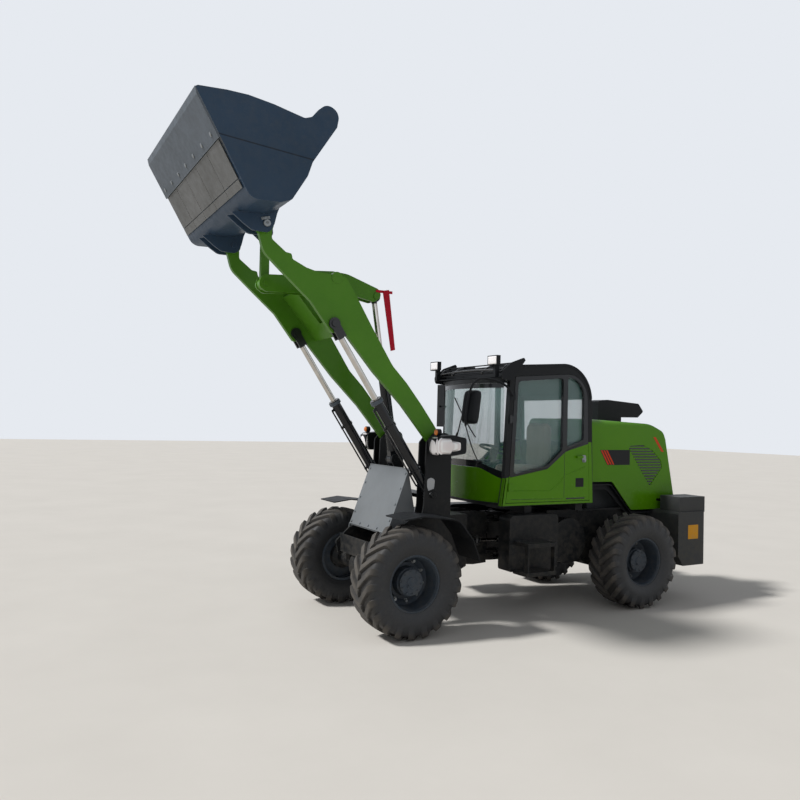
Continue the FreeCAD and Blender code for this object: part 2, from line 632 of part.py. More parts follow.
shell = plate("bucket_outer", from_pin([
    floor_at(4, d.edge_plate), floor_at(2, d.edge_plate + 24),
    (520, 952), (337, 953), (110, 925), (-95, 884), (-178, 868, 40), (-245, 893, 60), (-305, 970, 60),
    (-389, 1045, 90), (-512, 985, 90), (-490, 850, 30), (-265, 492, 120), (-222, 359, 120), (-80, 122, 60),
    (20, 84, 60), floor_at(986.8, d.edge_plate) + (120,),
]), -1 * half_bucket, d.bucket_width)
hangers = []
for k, y in enumerate((d.arm_y - d.boss_half - d.side_gap - d.cheek_plate, d.arm_y + d.boss_half + d.side_gap)):
    hangers.append(plate(f"hanger_{k}", from_pin([
        (-78, 10, 60), (-40, -78, 70), (130, -82, 90), (215, -30, 30), (330, 55), (150, 100), (-40, 300), (-180, 320),
        (-100, 110, 40),
    ]), y, d.cheek_plate))
ears = plate("link_ear", [
    (link_pin[0] - 62, link_pin[1] + 5, 50), (link_pin[0] - 30, link_pin[1] - 60, 50),
    (link_pin[0] + 40, link_pin[1] - 50, 40), (bucket_pin[0] - 20, bucket_pin[1] + 92),
    (bucket_pin[0] - 150, bucket_pin[1] + 330), (bucket_pin[0] - 215, bucket_pin[1] + 360),
], d.eye_half + d.side_gap, d.cheek_plate)
ear_caps = cylinder("link_ear_cap", 40, 14, (link_pin[0], d.eye_half + d.side_gap + d.cheek_plate, link_pin[1]))
strip_at = floor_at(800, d.edge_plate - 6)
strips = [place(box(f"wear_strip_{i}", 345, 90, 10, (0, 0, 0)),
                (bucket_pin[0] + strip_at[0], y - 45, bucket_pin[1] + strip_at[1]), FreeCAD.Rotation(V(0, 1, 0), -59.5))
          for i, y in enumerate((-660, -220, 220, 660))]
solid = fuse("bucket_solid", [shell] + both(*hangers, ears, ear_caps) + strips)
w = d.bucket_wall
cavity = plate("bucket_inside", from_pin([
    floor_at(-40, w + d.edge_plate),
    (300, 118, 90), (30, 112, 60), (-40, 130, 60), (-200, 378, 110), (-243, 505, 110), (-472, 878, 20),
    (-490, 932, 8), (-368, 1009), (-300, 1300), (1200, 1300),
]), d.bucket_side - half_bucket, d.bucket_width - 2 * d.bucket_side)
pockets = both(cylinder("hanger_pocket", d.boss_radius + 10, 2 * (d.boss_half + d.side_gap),
                        (bucket_pin[0], d.arm_y - d.boss_half - d.side_gap, bucket_pin[1])))
hollow = cut("bucket_hollow", solid, [cavity] + pockets)
bucket_pins = both(cylinder("bucket_pin", d.pin_radius, 2 * (d.boss_half + d.side_gap + d.cheek_plate) + 24,
                            (bucket_pin[0], d.arm_y - d.boss_half - d.side_gap - d.cheek_plate - 12, bucket_pin[1])))
node(fuse("bucket_all", [hollow] + bucket_pins), "bucket")

edge = plate("edge_plate", [
    (0, 0), (d.edge_length - 60, 0), (d.edge_length, d.edge_plate - 3), (d.edge_length, d.edge_plate),
    (0, d.edge_plate),
], -1 * half_bucket, d.bucket_width)
place(edge, (bucket_pin[0] + tip[0] - d.edge_length * floor[0], 0, bucket_pin[1] + tip[1] - d.edge_length * floor[1]),
      FreeCAD.Rotation(V(0, 1, 0), -59.5))
node(edge, "cutting_edge")


# Bellcrank: two cheeks on a hub, with the level indicator on its rear end
cheek_in = d.eye_half + d.side_gap
cheek = plate("crank_cheek", offset(crank_rear, [(-62, 0, 55), (-30, 75, 60)])
              + offset(crank, [(-330, 150, 300), (-160, 160), (120, 135), (340, 62)])
              + offset(crank_front, [(40, 85, 60), (82, -30, 60), (0, -85, 60), (-260, -66)])
              + offset(crank, [(0, -100, 300), (-460, -80)]) + offset(crank_rear, [(20, -68, 60)]),
              cheek_in, d.cheek_plate)
hub = cylinder("crank_hub", 90, 2 * (cheek_in + d.cheek_plate), (crank[0], -1 * (cheek_in + d.cheek_plate), crank[1]))
web = box("crank_web", 420, 2 * cheek_in, 60, (crank[0] - 430, -1 * cheek_in, crank[1] + 20))
crank_pins = both(
    cylinder("crank_cap_rear", 36, 12, (crank_rear[0], cheek_in + d.cheek_plate, crank_rear[1])),
)
front_pin = cylinder("crank_front_pin", d.pin_radius, 2 * (cheek_in + d.cheek_plate + 12),
                     (crank_front[0], -1 * (cheek_in + d.cheek_plate + 12), crank_front[1]))
crank_solid = fuse("crank_all", both(cheek) + [hub, web, front_pin] + crank_pins)
crank_bore = cylinder("crank_bore", 48 + d.pin_gap, 400, (crank[0], -200, crank[1]))
node(cut("crank_cut", crank_solid, [crank_bore]), "bellcrank")

bar_y = cheek_in + d.cheek_plate
bar = plate("level_bar", offset(crank_rear, [(-143, 81), (-69, 64), (-185, -578), (-237, -563)]), bar_y + 6, 8)
bar_arm = plate("level_arm", offset(crank_rear, [(-190, 40), (-190, 70), (10, 68), (10, 44), (-30, 40)]), bar_y, 6)
node(fuse("level_all", [bar, bar_arm]), "level_indicator")

link_bar = plate("link_bar", offset(crank_front, [(-43, 0), (43, 0)]) + offset(link_pin, [(40, 0), (-40, 0)]),
                 -1 * d.eye_half + 12, 2 * d.eye_half - 24)
link_ends = [cylinder(f"link_end_{i}", r, 2 * d.eye_half, (pin[0], -1 * d.eye_half, pin[1]))
             for i, (pin, r) in enumerate([(crank_front, 62), (link_pin, 50)])]
link_bore = cylinder("link_bore", d.pin_radius + d.pin_gap, 200, (crank_front[0], -100, crank_front[1]))
node(cut("link_cut", fuse("link_all", [link_bar] + link_ends), [link_bore]), "bucket_link")


# Cylinders, each made along its own line and then turned into place
def along(a, b):
    """Length and rotation of the line from one pin to another in the XZ plane."""
    dx, dz = num(b[0]) - num(a[0]), num(b[1]) - num(a[1])
    return math.hypot(dx, dz), FreeCAD.Rotation(V(0, 1, 0), math.degrees(math.atan2(dx, dz)))


def cylinder_pair(name, base, eye, y, bore, rod, barrel, start, clevis, base_half, root):
    """Barrel and rod between two pins; the rod ends in a plain eye or in a clevis over the arm."""
    length, turn = along(base, eye)
    tube = cylinder(name + "_tube", bore, barrel - root, (0, 0, root), "Z")
    neck = box(name + "_root", 2 * bore - 14, 2 * base_half - 4, root, (7 - bore, 2 - base_half, 10))
    gland = cylinder(name + "_gland", bore + 7, 45, (0, 0, barrel - 45), "Z")
    foot = cylinder(name + "_foot", bore + 6, 2 * base_half, (0, -1 * base_half, 0))
    port = cylinder(name + "_port", 16, bore + 22, (0, 0, barrel - 90), "X", FreeCAD.Rotation(V(0, 1, 0), 90))
    inner = cylinder(name + "_inner", rod + 0.5, barrel - 130, (0, 0, 130), "Z")
    eye_hole = cylinder(name + "_hole", d.pin_radius + d.pin_gap, 200, (0, -100, 0))
    tube_all = cut(name + "_barrel_cut", fuse(name + "_barrel_all", [tube, neck, gland, foot, port]), [inner, eye_hole])
    place(tube_all, (base[0], y, base[1]), turn)
    if clevis:
        plate_half = d.arm_plate / 2 + d.side_gap
        ear = both(
            cylinder(name + "_ear", 58, d.cheek_plate, (0, plate_half, length)),
            box(name + "_ear_plate", 90, d.cheek_plate, 160, (-45, plate_half, length - 160)),
            cylinder(name + "_cap", 34, 12, (0, plate_half + d.cheek_plate, length)),
        )
        web = [box(name + "_web", 64, 2 * plate_half, 20, (-32, -1 * plate_half, length - 160))]
        shaft_top = 150
    else:
        ear = [cylinder(name + "_eye", 60, 2 * base_half, (0, -1 * base_half, length))]
        web = []
        shaft_top = 20
    shaft = cylinder(name + "_shaft", rod, length - shaft_top - start, (0, 0, start), "Z")
    rod_all = fuse(name + "_rod_all", ear + web + [shaft])
    place(rod_all, (base[0], y, base[1]), turn)
    return tube_all, rod_all


lift_half = d.boss_half - 5
lift = cylinder_pair("lift", lift_base, lift_eye, 0, d.lift_bore, d.lift_rod, d.lift_barrel, d.lift_start,
                     True, lift_half, 60)
for obj, what in zip(lift, ("barrel", "rod")):
    for side, sign in (("left", 1), ("right", -1)):
        copy = doc.addObject("Part::Compound", f"lift_{what}_{side}_at")
        copy.Links = [obj]
        place(copy, (0, d.arm_y * sign, 0))
        node(copy, f"lift_{what}_{side}")
tilt = cylinder_pair("tilt", tilt_base, crank_rear, 0, d.tilt_bore, d.tilt_rod, d.tilt_barrel, d.tilt_start,
                     False, d.eye_half, 92)
node(tilt[0], "tilt_barrel")
node(tilt[1], "tilt_rod")


# Steering cylinders lie level beside the hinge, one each side
tube = cylinder("steer_tube", d.steer_bore, d.steer_barrel - 62, (62, 0, 0), "X")
neck = box("steer_root", 70, 50, 2 * d.steer_eye_half, (0, -25, -1 * d.steer_eye_half))
gland = cylinder("steer_gland", d.steer_bore + 4, 25, (d.steer_barrel - 25, 0, 0), "X")
foot = cylinder("steer_foot", 36, 2 * d.steer_eye_half, (0, 0, -1 * d.steer_eye_half), "Z")
bore = cylinder("steer_bore", d.steer_rod + 0.5, d.steer_barrel - 80, (80, 0, 0), "X")
hole = cylinder("steer_hole", d.steer_pin + d.pin_gap, 200, (0, 0, -100), "Z")
barrel = cut("steer_barrel_cut", fuse("steer_barrel_all", [tube, neck, gland, foot]), [bore, hole])
place(barrel, (steer_base[0], steer_base[1], steer_z), steer_turn)
shaft = cylinder("steer_shaft", d.steer_rod, steer_length - 20 - d.steer_start, (d.steer_start, 0, 0), "X")
eye = cylinder("steer_eye", 36, 2 * d.steer_eye_half, (steer_length, 0, -1 * d.steer_eye_half), "Z")
rod = fuse("steer_rod_all", [shaft, eye])
place(rod, (steer_base[0], steer_base[1], steer_z), steer_turn)
for obj, what in ((barrel, "barrel"), (rod, "rod")):
    node(obj, f"steer_{what}_left")
    node(mirrored(obj), f"steer_{what}_right")

# Rear frame: necks and side plates, lugs that hold the hinge pins, bearers for cab and engine
rear_end = hinge - d.frame_rear
side = plate("rear_side", [
    (rear_end, 620), (rear_end, d.frame_top), (hinge - d.neck_reach, d.frame_top),
    (hinge - d.neck_reach, d.frame_floor + 60), (hinge - 700, d.frame_floor), (rear_x + 330, d.frame_floor),
    (rear_x + 250, axle_z + 130, 60), (rear_x - 250, axle_z + 130, 60), (rear_x - 330, 560),
], side_in, d.frame_plate)
neck = plate("rear_neck_side", [
    (hinge - 130, d.hinge_lower - 60), (hinge - 130, d.hinge_upper + 60), (hinge - 300, d.frame_top),
    (hinge - d.neck_reach - 20, d.frame_top), (hinge - d.neck_reach - 20, d.frame_floor + 40),
    (hinge - 300, d.frame_floor + 20),
], d.neck_half - d.frame_plate, d.frame_plate)
neck_wall = box("rear_neck_wall", d.frame_plate, 2 * d.frame_half, d.frame_top - d.frame_floor - 60,
                (hinge - d.neck_reach - d.frame_plate, -1 * d.frame_half, d.frame_floor + 60))
neck_end = box("rear_neck_end", 20, 2 * d.neck_half, d.hinge_upper - d.hinge_lower + 120,
               (hinge - 150, -1 * d.neck_half, d.hinge_lower - 60))
rear_wall = box("rear_wall", 25, 2 * d.frame_half, d.frame_top - 620, (rear_end, -1 * d.frame_half, 620))
lugs = []
lug_off = d.hinge_lug / 2 + d.side_gap
for name, z in (("upper", d.hinge_upper), ("lower", d.hinge_lower)):
    for k, low in enumerate((z + lug_off, z - lug_off - 30)):
        lugs.append(cylinder(f"rear_lug_{name}_{k}_eye", d.hinge_eye, 30, (hinge, 0, low), "Z"))
        lugs.append(box(f"rear_lug_{name}_{k}", 150, 2 * d.hinge_eye, 30, (hinge - 150, -1 * d.hinge_eye, low)))
    lugs.append(cylinder(f"hinge_pin_{name}", d.hinge_pin, 2 * lug_off + 80, (hinge, 0, z - lug_off - 40), "Z"))
bearers = []
for k, x in enumerate((hinge - 200, hinge - 950)):
    bearers.append(box(f"cab_bearer_{k}", 100, 1120, d.cab_floor_z - 20 - d.frame_top - 10,
                       (x, -560, d.frame_top + 10)))
    for y in (-500, 500):
        bearers.append(cylinder(f"cab_cushion_{k}_{y + 500}", 42, 20, (x + 50, y, d.cab_floor_z - 20), "Z"))
saddle = box("cab_saddle", 480, 2 * d.neck_half, 12, (hinge - 580, -1 * d.neck_half, d.frame_top))
saddle_front = box("cab_saddle_front", 200, 2 * d.neck_half, 12, (hinge - 300, -1 * d.neck_half, d.frame_top))
rear_saddle = box("cab_rear_saddle", 100, 2 * d.frame_half, 12, (hinge - 950, -1 * d.frame_half, d.frame_top))
beds = [box(f"engine_bed_{k}", 90, 2 * side_in + 20, 60, (x, -1 * side_in - 10, d.engine_low - 60))
        for k, x in enumerate((hinge - 1290, hinge - 2040))]
beds.append(box("transfer_bed", 180, 2 * side_in + 20, 25, (hinge - 900, -1 * side_in - 10, 575)))
hood_rails = both(box("hood_rail", d.frame_rear - 1010, d.hood_half - 60.3 - side_in - 5, 20,
                      (rear_end, side_in + 5, d.frame_top - 20)))
hangers = [plate(f"axle_hanger_{k}", [
    (-130, axle_z - 40, 40), (130, axle_z - 40, 40), (side_in + 10, axle_z + 135), (side_in + 10, axle_z + 220),
    (-1 * side_in - 10, axle_z + 220), (-1 * side_in - 10, axle_z + 135),
], x, 30, "YZ") for k, x in enumerate((rear_x + 190, rear_x - 220))]
steer_pins = both(cylinder("steer_base_pin", d.steer_pin, 2 * (d.steer_eye_half + d.side_gap),
                           (steer_base[0], steer_base[1], steer_z - d.steer_eye_half - d.side_gap), "Z"))
rear = fuse("rear_frame_all", both(side, neck) + [neck_wall, neck_end, rear_wall, saddle, saddle_front, rear_saddle]
            + lugs + bearers + beds + hood_rails + hangers + both(*steer_lugs("steer_base", steer_base, d.steer_pin + 6))
            + steer_pins)
trunnion_bore = cylinder("trunnion_bore", 95, 500, (rear_x - 250, 0, axle_z), "X")
node(cut("rear_frame_cut", rear, [trunnion_bore]), "rear_frame")
engine = box("engine", 700, 540, d.engine_top - d.engine_low, (hinge - 2000, -270, d.engine_low))
node(engine, "engine_block")

# Transfer box under the cab with the shaft back to the rear axle
transfer = box("transfer_case", 300, 300, 330, (hinge - 960, -150, 600))
shaft_start = rear_x + 250
shaft = cylinder("rear_shaft", 38, hinge - 960 - shaft_start, (shaft_start, 0, axle_z + 90), "X")
yoke = cylinder("transfer_yoke", 65, 60, (hinge - 1020, 0, axle_z + 90), "X")
node(fuse("transfer_all", [transfer, shaft, yoke]), "transfer_box")

weight_top = d.frame_top - 25

# Counterweight: a casting with nearly square corners round the frame's tail, and a bore for the tow pin
weight_side = plate("weight_side", [
    (rear_end + 10, 1040), (rear_end - 30, weight_top), (hinge - 2900, weight_top), (hinge - 2900, 426), (hinge - 2730, 426),
    (hinge - 2278, 426), (rear_end + 10, 560),
], -1 * d.weight_half - 50, 2 * d.weight_half + 100)
weight_face = plate("weight_face", [
    (rear_end, -1 * d.weight_half), (rear_end, d.weight_half), (hinge - d.weight_rear + 20, d.weight_half, 60),
    (hinge - d.weight_rear - 4, 500, 300), (hinge - d.weight_rear - 4, -500, 300),
    (hinge - d.weight_rear + 20, -1 * d.weight_half, 60),
], 414, 700, "XY")
weight_all = doc.addObject("Part::Common", "weight_all")
weight_all.Base, weight_all.Tool = weight_face, weight_side
tow_slot = box("tow_slot", 220, 180, 110, (hinge - d.weight_rear - 40, -90, 600))
tow_bore = cylinder("tow_bore", d.tow_pin, 460, (hinge - d.weight_rear + 80, 0, 400), "Z")
tow_groove = box("tow_groove", 180, 90, 400, (hinge - d.weight_rear - 40, -45, 760))
rear_lamps = both(box("rear_lamp", 450, 300, 190, (hinge - 2680, 580, 1065)))
node(cut("weight_cut", fuse("weight_lamps", [weight_all] + rear_lamps), [tow_slot, tow_bore, tow_groove]),
     "counterweight")

# Hood: a pressed shell over the engine, open below
hood_low = weight_top


def hood_solid(name, wall):
    across = d.hood_half - wall
    profile = plate(name + "_section", [
        (-1 * across, hood_low - wall), (across, hood_low - wall), (across, d.hood_top - wall, 90),
        (-1 * across, d.hood_top - wall, 90),
    ], hinge - 2600, 1700, "YZ")
    side_view = plate(name + "_profile", [
        (hinge - 1000 - wall, hood_low - wall), (hinge - 1000 - wall, d.hood_top - wall),
        (hinge - 1142, d.hood_top - wall), (hinge - 2119, d.hood_top - 39 - wall, 400),
        (hinge - 2355 + wall * 0.3, d.hood_top - 135 - wall, 120), (hinge - 2400 + wall, d.hood_top - 230 - wall),
        (hinge - 2573 + wall, hood_low + 100), (hinge - 2573 + wall, hood_low - wall),
    ], -600, 1200)
    obj = doc.addObject("Part::Common", name)
    obj.Base, obj.Tool = profile, side_view
    return obj


inside = hood_solid("hood_inside", d.hood_wall)
wheel_arch = plate("hood_arch", [
    (hinge - 980, hood_low - 60), (hinge - 980, 1432), (hinge - 1490, 1427, 70), (hinge - 1810, 1074, 70),
    (hinge - 2200, 1060), (hinge - 2200, hood_low - 60),
], -700, 1400)
side_grilles = both(plate("side_grille", [
    (hinge - 2095, 1395, 30), (hinge - 1730, 1860, 30), (hinge - 2000, 1875, 30), (hinge - 2165, 1815, 30),
    (hinge - 2325, 1680, 30), (hinge - 2345, 1590, 40), (hinge - 2130, 1360, 30),
], d.hood_half - 6, 20))
hood_cut = cut("hood_cut", hood_solid("hood_outside", d.hood_wall * 0), [inside, wheel_arch] + side_grilles)
node(hood_cut, "hood")
air = plate("air_box", [
    (hinge - 1600, d.hood_top - 18.27), (hinge - 1600, d.hood_top + 240, 20), (hinge - 1760, d.hood_top + 258, 30),
    (hinge - 2310, d.hood_top + 226, 30), (hinge - 2400, d.hood_top + 124, 20), (hinge - 2300, d.hood_top + 44, 20),
    (hinge - 2000, d.hood_top + 44), (hinge - 2000, d.hood_top - 34.24),
], -130, 260)
node(air, "air_cleaner")

# Black arch panels inside the rear tyres, on the hood rails' line
arch = bent("rear_arch", [
    (hinge - 1000, 1400), (hinge - 1465, 1400, 90), (hinge - 1800, 1050, 90), (hinge - 2180, 1046),
], [(0, -14), (-6, -14), (-7, -14), (0, -14)], d.hood_half - 60, 60)
arch_wall = plate("rear_arch_wall", [
    (hinge - 1000, 1390), (hinge - 1461, 1390, 90), (hinge - 1796, 1040, 90), (hinge - 2180, 1036),
    (hinge - 2180, 1020), (hinge - 1780, 1020, 90), (hinge - 1440, 1330, 90), (hinge - 1000, 1330),
], d.hood_half - 60, 10)
for obj, label in zip(both(fuse("rear_arch_all", [arch, arch_wall])), ("rear_fender_left", "rear_fender_right")):
    node(obj, label)

# Side tanks with their steps, on the frame under the cab
tank = plate("side_tank", [
    (hinge + 205, 500, 30), (hinge + 205, 1100, 60), (hinge - 470, 1100, 60), (hinge - 470, 500, 60),
], d.tank_in, d.tank_out - d.tank_in)
housing = cylinder("side_housing", 260, 150, (hinge - 760, d.tank_in - 100, 760))
housing_arm = box("side_housing_arm", 320, 120, 120, (hinge - 760, d.tank_in - 100, 700))
tank_seat = box("tank_seat", 200, d.tank_in - d.frame_half + 10, 200, (hinge - 760, d.frame_half, 760))
STEPS = [
    # tread height, front edge, length
    (790, 140, 380), (486, 154, 398),
]
treads = [box(f"step_{k}", length, d.step_y - d.tank_out, 40, (hinge + x - length, d.tank_out, z))
          for k, (z, x, length) in enumerate(STEPS)]
risers = [box(f"step_riser_{k}", 14, 60, 330, (hinge + x, d.step_y - 60, 490)) for k, x in enumerate((-230, 126))]
for obj, label in zip(both(fuse("steps_all", [tank, housing, housing_arm, tank_seat] + treads + risers)),
                      ("steps_left", "steps_right")):
    node(obj, label)

# Cab: seen from the side it leans in at the front and has round roof corners
cab_back, cab_front = hinge - 976, hinge + 250
cab_round = (d.cab_top - d.belt_back) / 2
post = d.cab_post
inner = d.cab_half - post


def cab_line(side, top, low):
    """The cab's outline seen from the side, drawn in by one distance at the posts and another at the roof."""
    return [
        (cab_front + 44 - side, low), (cab_front - side, d.belt_front),
        (cab_front - 62 - side, d.cab_top - top, 150 - top), (cab_back + side, d.cab_top + 88 - top, cab_round - top),
        (cab_back - 55 + side, low),
    ]


def cab_common(name, a, b):
    obj = doc.addObject("Part::Common", name)
    obj.Base, obj.Tool = a, b
    return obj


floor_plate = box("cab_floor", cab_front - cab_back, 2 * d.cab_half, 30, (cab_back, -1 * d.cab_half, d.cab_floor_z))
outline = plate("cab_outline", cab_line(0, 0, d.cab_floor_z), inner, post)
opening = plate("cab_opening", cab_line(post - 5, d.cab_rail, d.cab_floor_z + 30), inner - 50, post + 100)
roof_out = plate("roof_out", cab_line(0, 0, d.cab_floor_z), -1 * d.cab_half - 6, 2 * d.cab_half + 12)
roof_in = plate("roof_in", cab_line(d.roof_skin - 5, d.roof_skin, d.cab_floor_z - 50), -1 * d.cab_half - 50,
                2 * d.cab_half + 100)
rear_top = d.cab_top - cab_round + 80
roof_zone = fuse("roof_zone", [
    box("roof_zone_high", 1800, 2 * d.cab_half + 200, 900, (cab_back - 300, -1 * d.cab_half - 100, d.cab_top - 148)),
    box("roof_zone_back", 700, 2 * d.cab_half + 200, 900, (cab_back - 300, -1 * d.cab_half - 100, rear_top)),
])
roof = cab_common("roof_all", cut("roof_sheet", roof_out, [roof_in]), roof_zone)
node(roof, "cab_roof")
side_frame = cut("cab_side_frame", outline, [opening, roof])
cross_rails = [box(f"rail_{k}", 50, 2 * inner + 20, 60, (x, -1 * inner - 10, z))
               for k, (x, z) in enumerate(((cab_back + 380, d.cab_top - 70), (cab_front - 190, d.cab_top - 100)))]
back_panel = box("cab_back_panel", 30, 2 * inner + 20, d.back_sill - d.cab_floor_z,
                 (cab_back - 20, -1 * inner - 10, d.cab_floor_z))
back_rail = box("cab_back_rail", 40, 2 * inner + 20, 60, (cab_back + 30, -1 * inner - 10, rear_top))
arc_centre = cab_front + d.screen_bulge - d.screen_radius


def bowed(name, outline, wall, back):
    """A panel bowed forward in plan, cut to an outline seen from the front."""
    outer = cylinder(name + "_outer", d.screen_radius - back, 3000, (arc_centre, 0, 0), "Z")
    inner_face = cylinder(name + "_inner", d.screen_radius - back - wall, 3000, (arc_centre, 0, 0), "Z")
    shell = cut(name + "_shell", outer, [inner_face])
    return cab_common(name, plate(name + "_face", outline, hinge, 600, "YZ"), shell)


screen_top = d.cab_top - 198
header = bowed("cab_header", [
    (-1 * inner - 5, screen_top), (inner + 5, screen_top), (inner + 5, screen_top + 50), (-1 * inner - 5, screen_top + 50),
], 24, 0)
bow = [
    (cab_front - 10, -1 * inner), (cab_front + 25, -1 * inner), (cab_front + d.screen_bulge - 10, -220, 400),
    (cab_front + d.screen_bulge - 10, 220, 400), (cab_front + 25, inner), (cab_front - 10, inner),
]
header_top = plate("cab_header_top", [(cab_front - 90, -1 * inner)] + bow[1:-1] + [(cab_front - 90, inner)],
                   screen_top + 30, 20, "XY")
nose_floor = plate("cab_nose_floor", bow, d.cab_floor_z, 30, "XY")
node(fuse("cab_all", [floor_plate, back_panel, nose_floor, header, header_top, back_rail] + both(side_frame) + cross_rails),
     "cab_frame")
nose = bowed("cab_nose_panel", [
    (-1 * inner, d.cab_floor_z + 30), (inner, d.cab_floor_z + 30), (inner, d.screen_sill - 110),
    (300, d.screen_sill, 300), (-300, d.screen_sill, 300), (-1 * inner, d.screen_sill - 110),
], 24, 0)
node(nose, "cab_nose")
screen = bowed("windscreen_pane", [
    (-1 * inner, d.screen_sill - 106 + d.glass_gap), (-300, d.screen_sill + d.glass_gap, 300),
    (300, d.screen_sill + d.glass_gap, 300), (inner, d.screen_sill - 106 + d.glass_gap),
    (inner, screen_top - d.glass_gap), (-1 * inner, screen_top - d.glass_gap),
], d.glass, 8)
node(screen, "windscreen")
rear_pane = box("rear_pane", d.glass, 2 * inner, rear_top - d.back_sill, (cab_back + 4, -1 * inner, d.back_sill))
node(rear_pane, "rear_window")

# Doors: a green panel up to the belt line, and above it a black frame round the windows
belt = [(cab_front + 60, d.belt_front), (hinge - 337, d.belt_front + 103), (hinge - 596, d.belt_back - 116),
        (cab_back - 80, d.belt_back + 5)]
window_top = d.cab_top - d.cab_rail - 55


def door_parts(name, gap):
    """One side's green panel and black window frame, clear of the cab's frame by a gap."""
    outer = plate(name + "_outer", cab_line(post - 5 + gap, d.cab_rail + gap, d.cab_floor_z + 30 + gap),
                  d.cab_half - d.door_skin + 2, d.door_skin)
    low = plate(name + "_low", belt + [(cab_back - 80, d.cab_floor_z), (cab_front + 60, d.cab_floor_z)],
                d.cab_half - 100, 200)
    high = plate(name + "_high", belt + [(cab_back - 80, d.cab_top + 200), (cab_front + 60, d.cab_top + 200)],
                 d.cab_half - 100, 200)
    window = plate(name + "_window", [
        (cab_front - 120, d.belt_front + 46, 30), (cab_front - 165, window_top, 40), (hinge - 560, window_top + 66, 40),
        (hinge - 560, d.belt_back - 92, 60), (hinge - 337, d.belt_front + 134, 100),
    ], d.cab_half - 100, 200)
    quarter = plate(name + "_quarter", [
        (hinge - 625, d.belt_back - 72, 30), (hinge - 625, window_top + 72, 15),
        (cab_back + 105, window_top + 90, cab_round * 0.52), (cab_back + 100, d.belt_back + 24, 30),
    ], d.cab_half - 100, 200)
    return (cab_common(name + "_panel", outer, low),
            cut(name + "_frame", cab_common(name + "_upper", outer, high), [window, quarter]))


def door_pane(name):
    return plate(name + "_pane", [
        (cab_front - 96, d.belt_front + 24, 30), (cab_front - 141, window_top + 22, 40),
        (cab_back + 85, window_top + 120, cab_round * 0.65), (cab_back + 80, d.belt_back + 10, 30),
        (hinge - 590, d.belt_back - 124, 60), (hinge - 337, d.belt_front + 112, 100),
    ], d.cab_half - d.door_skin + 2 - d.glass, d.glass)


left, left_frame = door_parts("left_door", d.door_gap)
left_hinges = [cylinder("door_hinge", 14, 90, (hinge + 196, d.cab_half + 14, 1360), "Z")]
left_straps = [box("door_strap", 60, 12, 70, (hinge + 140, d.cab_half + 2, 1370))]
handle = box("door_handle", 90, 30, 26, (hinge - 850, d.cab_half + 2, 1720))
node(fuse("left_door_all", [left, handle] + left_straps + left_hinges), "left_door")
upper_hinge = cylinder("door_hinge_upper", 14, 90, (hinge + 196, d.cab_half + 14, 2100), "Z")
upper_strap = box("door_strap_upper", 90, 12, 70, (hinge + 110, d.cab_half + 2, 2110))
node(fuse("left_frame_all", [left_frame, upper_hinge, upper_strap]), "left_door_frame")
node(door_pane("left_glass"), "left_door_glass")
right, right_frame = door_parts("right_side", d.door_gap / 6)
node(mirrored(right), "right_side_panel")
node(mirrored(right_frame), "right_side_frame")
node(mirrored(door_pane("right_glass")), "right_side_glass")

# Roof visor with louvres and the two work lamps on it
roof_low = d.cab_top - 148
visor_sides = both(plate("visor_side", [
    (cab_front - 60, roof_low - 30), (cab_front + 80, roof_low - 20, 30), (cab_front + 100, roof_low + 60, 60),
    (cab_front - 30, roof_low + 168, 100), (cab_front - 205, roof_low + 232, 10), (cab_front - 225, roof_low + 205),
    (cab_front - 150, roof_low + 110), (cab_front - 90, roof_low + 40),
], d.cab_half + 18, 20), cylinder("visor_stud", 16, 12, (cab_front - 80, d.cab_half + 6, roof_low + 90)))
LOUVRES = [
    # ahead of the cab's front, above the rails
    (82, 10), (60, 52), (20, 92), (-26, 130), (-90, 166),
]
louvres = [box(f"louvre_{k}", 30, 2 * d.cab_half + 36, 10, (cab_front + x - 15, -1 * d.cab_half - 18, roof_low + z))
           for k, (x, z) in enumerate(LOUVRES)]
lamps = both(box("roof_lamp", 50, 170, 105, (cab_front + 110, 510, roof_low + 135)),
             box("roof_lamp_stem", 50, 40, 140, (cab_front + 80, 575, roof_low + 8)))
node(fuse("visor_all", visor_sides + louvres + lamps), "roof_visor")

# Mirrors: the left one stands well ahead on bent tubes and faces back to the driver, the right one beside its post
mirror_turn = FreeCAD.Rotation(V(0, 0, 1), 17) * FreeCAD.Rotation(V(0, 1, 0), -9)
left_plate = place(box("mirror_left_plate", 40, 200, 360, (0, 0, 0)), (hinge + 735, 548, d.cab_top - 658), mirror_turn)
left_tube = plate("mirror_left_tube", [
    (hinge + 170, d.cab_top - 342), (hinge + 170, d.cab_top - 314), (hinge + 560, d.cab_top - 180, 60),
    (hinge + 640, d.cab_top - 172, 40), (hinge + 740, d.cab_top - 300, 60), (hinge + 782, d.cab_top - 700),
    (hinge + 758, d.cab_top - 700), (hinge + 716, d.cab_top - 308, 40), (hinge + 628, d.cab_top - 198, 30),
    (hinge + 566, d.cab_top - 206, 40),
], d.cab_half, 24)
left_clamp = box("mirror_left_clamp", 90, 36, 44, (hinge + 690, d.cab_half - 6, d.cab_top - 470))
node(fuse("mirror_left_all", [left_plate, left_tube, left_clamp]), "mirror_left")
right_plate = box("mirror_right_plate", 40, 170, 530, (hinge + 110, d.cab_half + 100, d.cab_top - 698))
right_arm = box("mirror_right_arm", 108, 24, 24, (hinge + 130, d.cab_half + 78, d.cab_top - 458))
right_stub = box("mirror_right_stub", 24, 102, 24, (hinge + 190, d.cab_half, d.cab_top - 458))
node(mirrored(fuse("mirror_right_all", [right_plate, right_arm, right_stub])), "mirror_right")

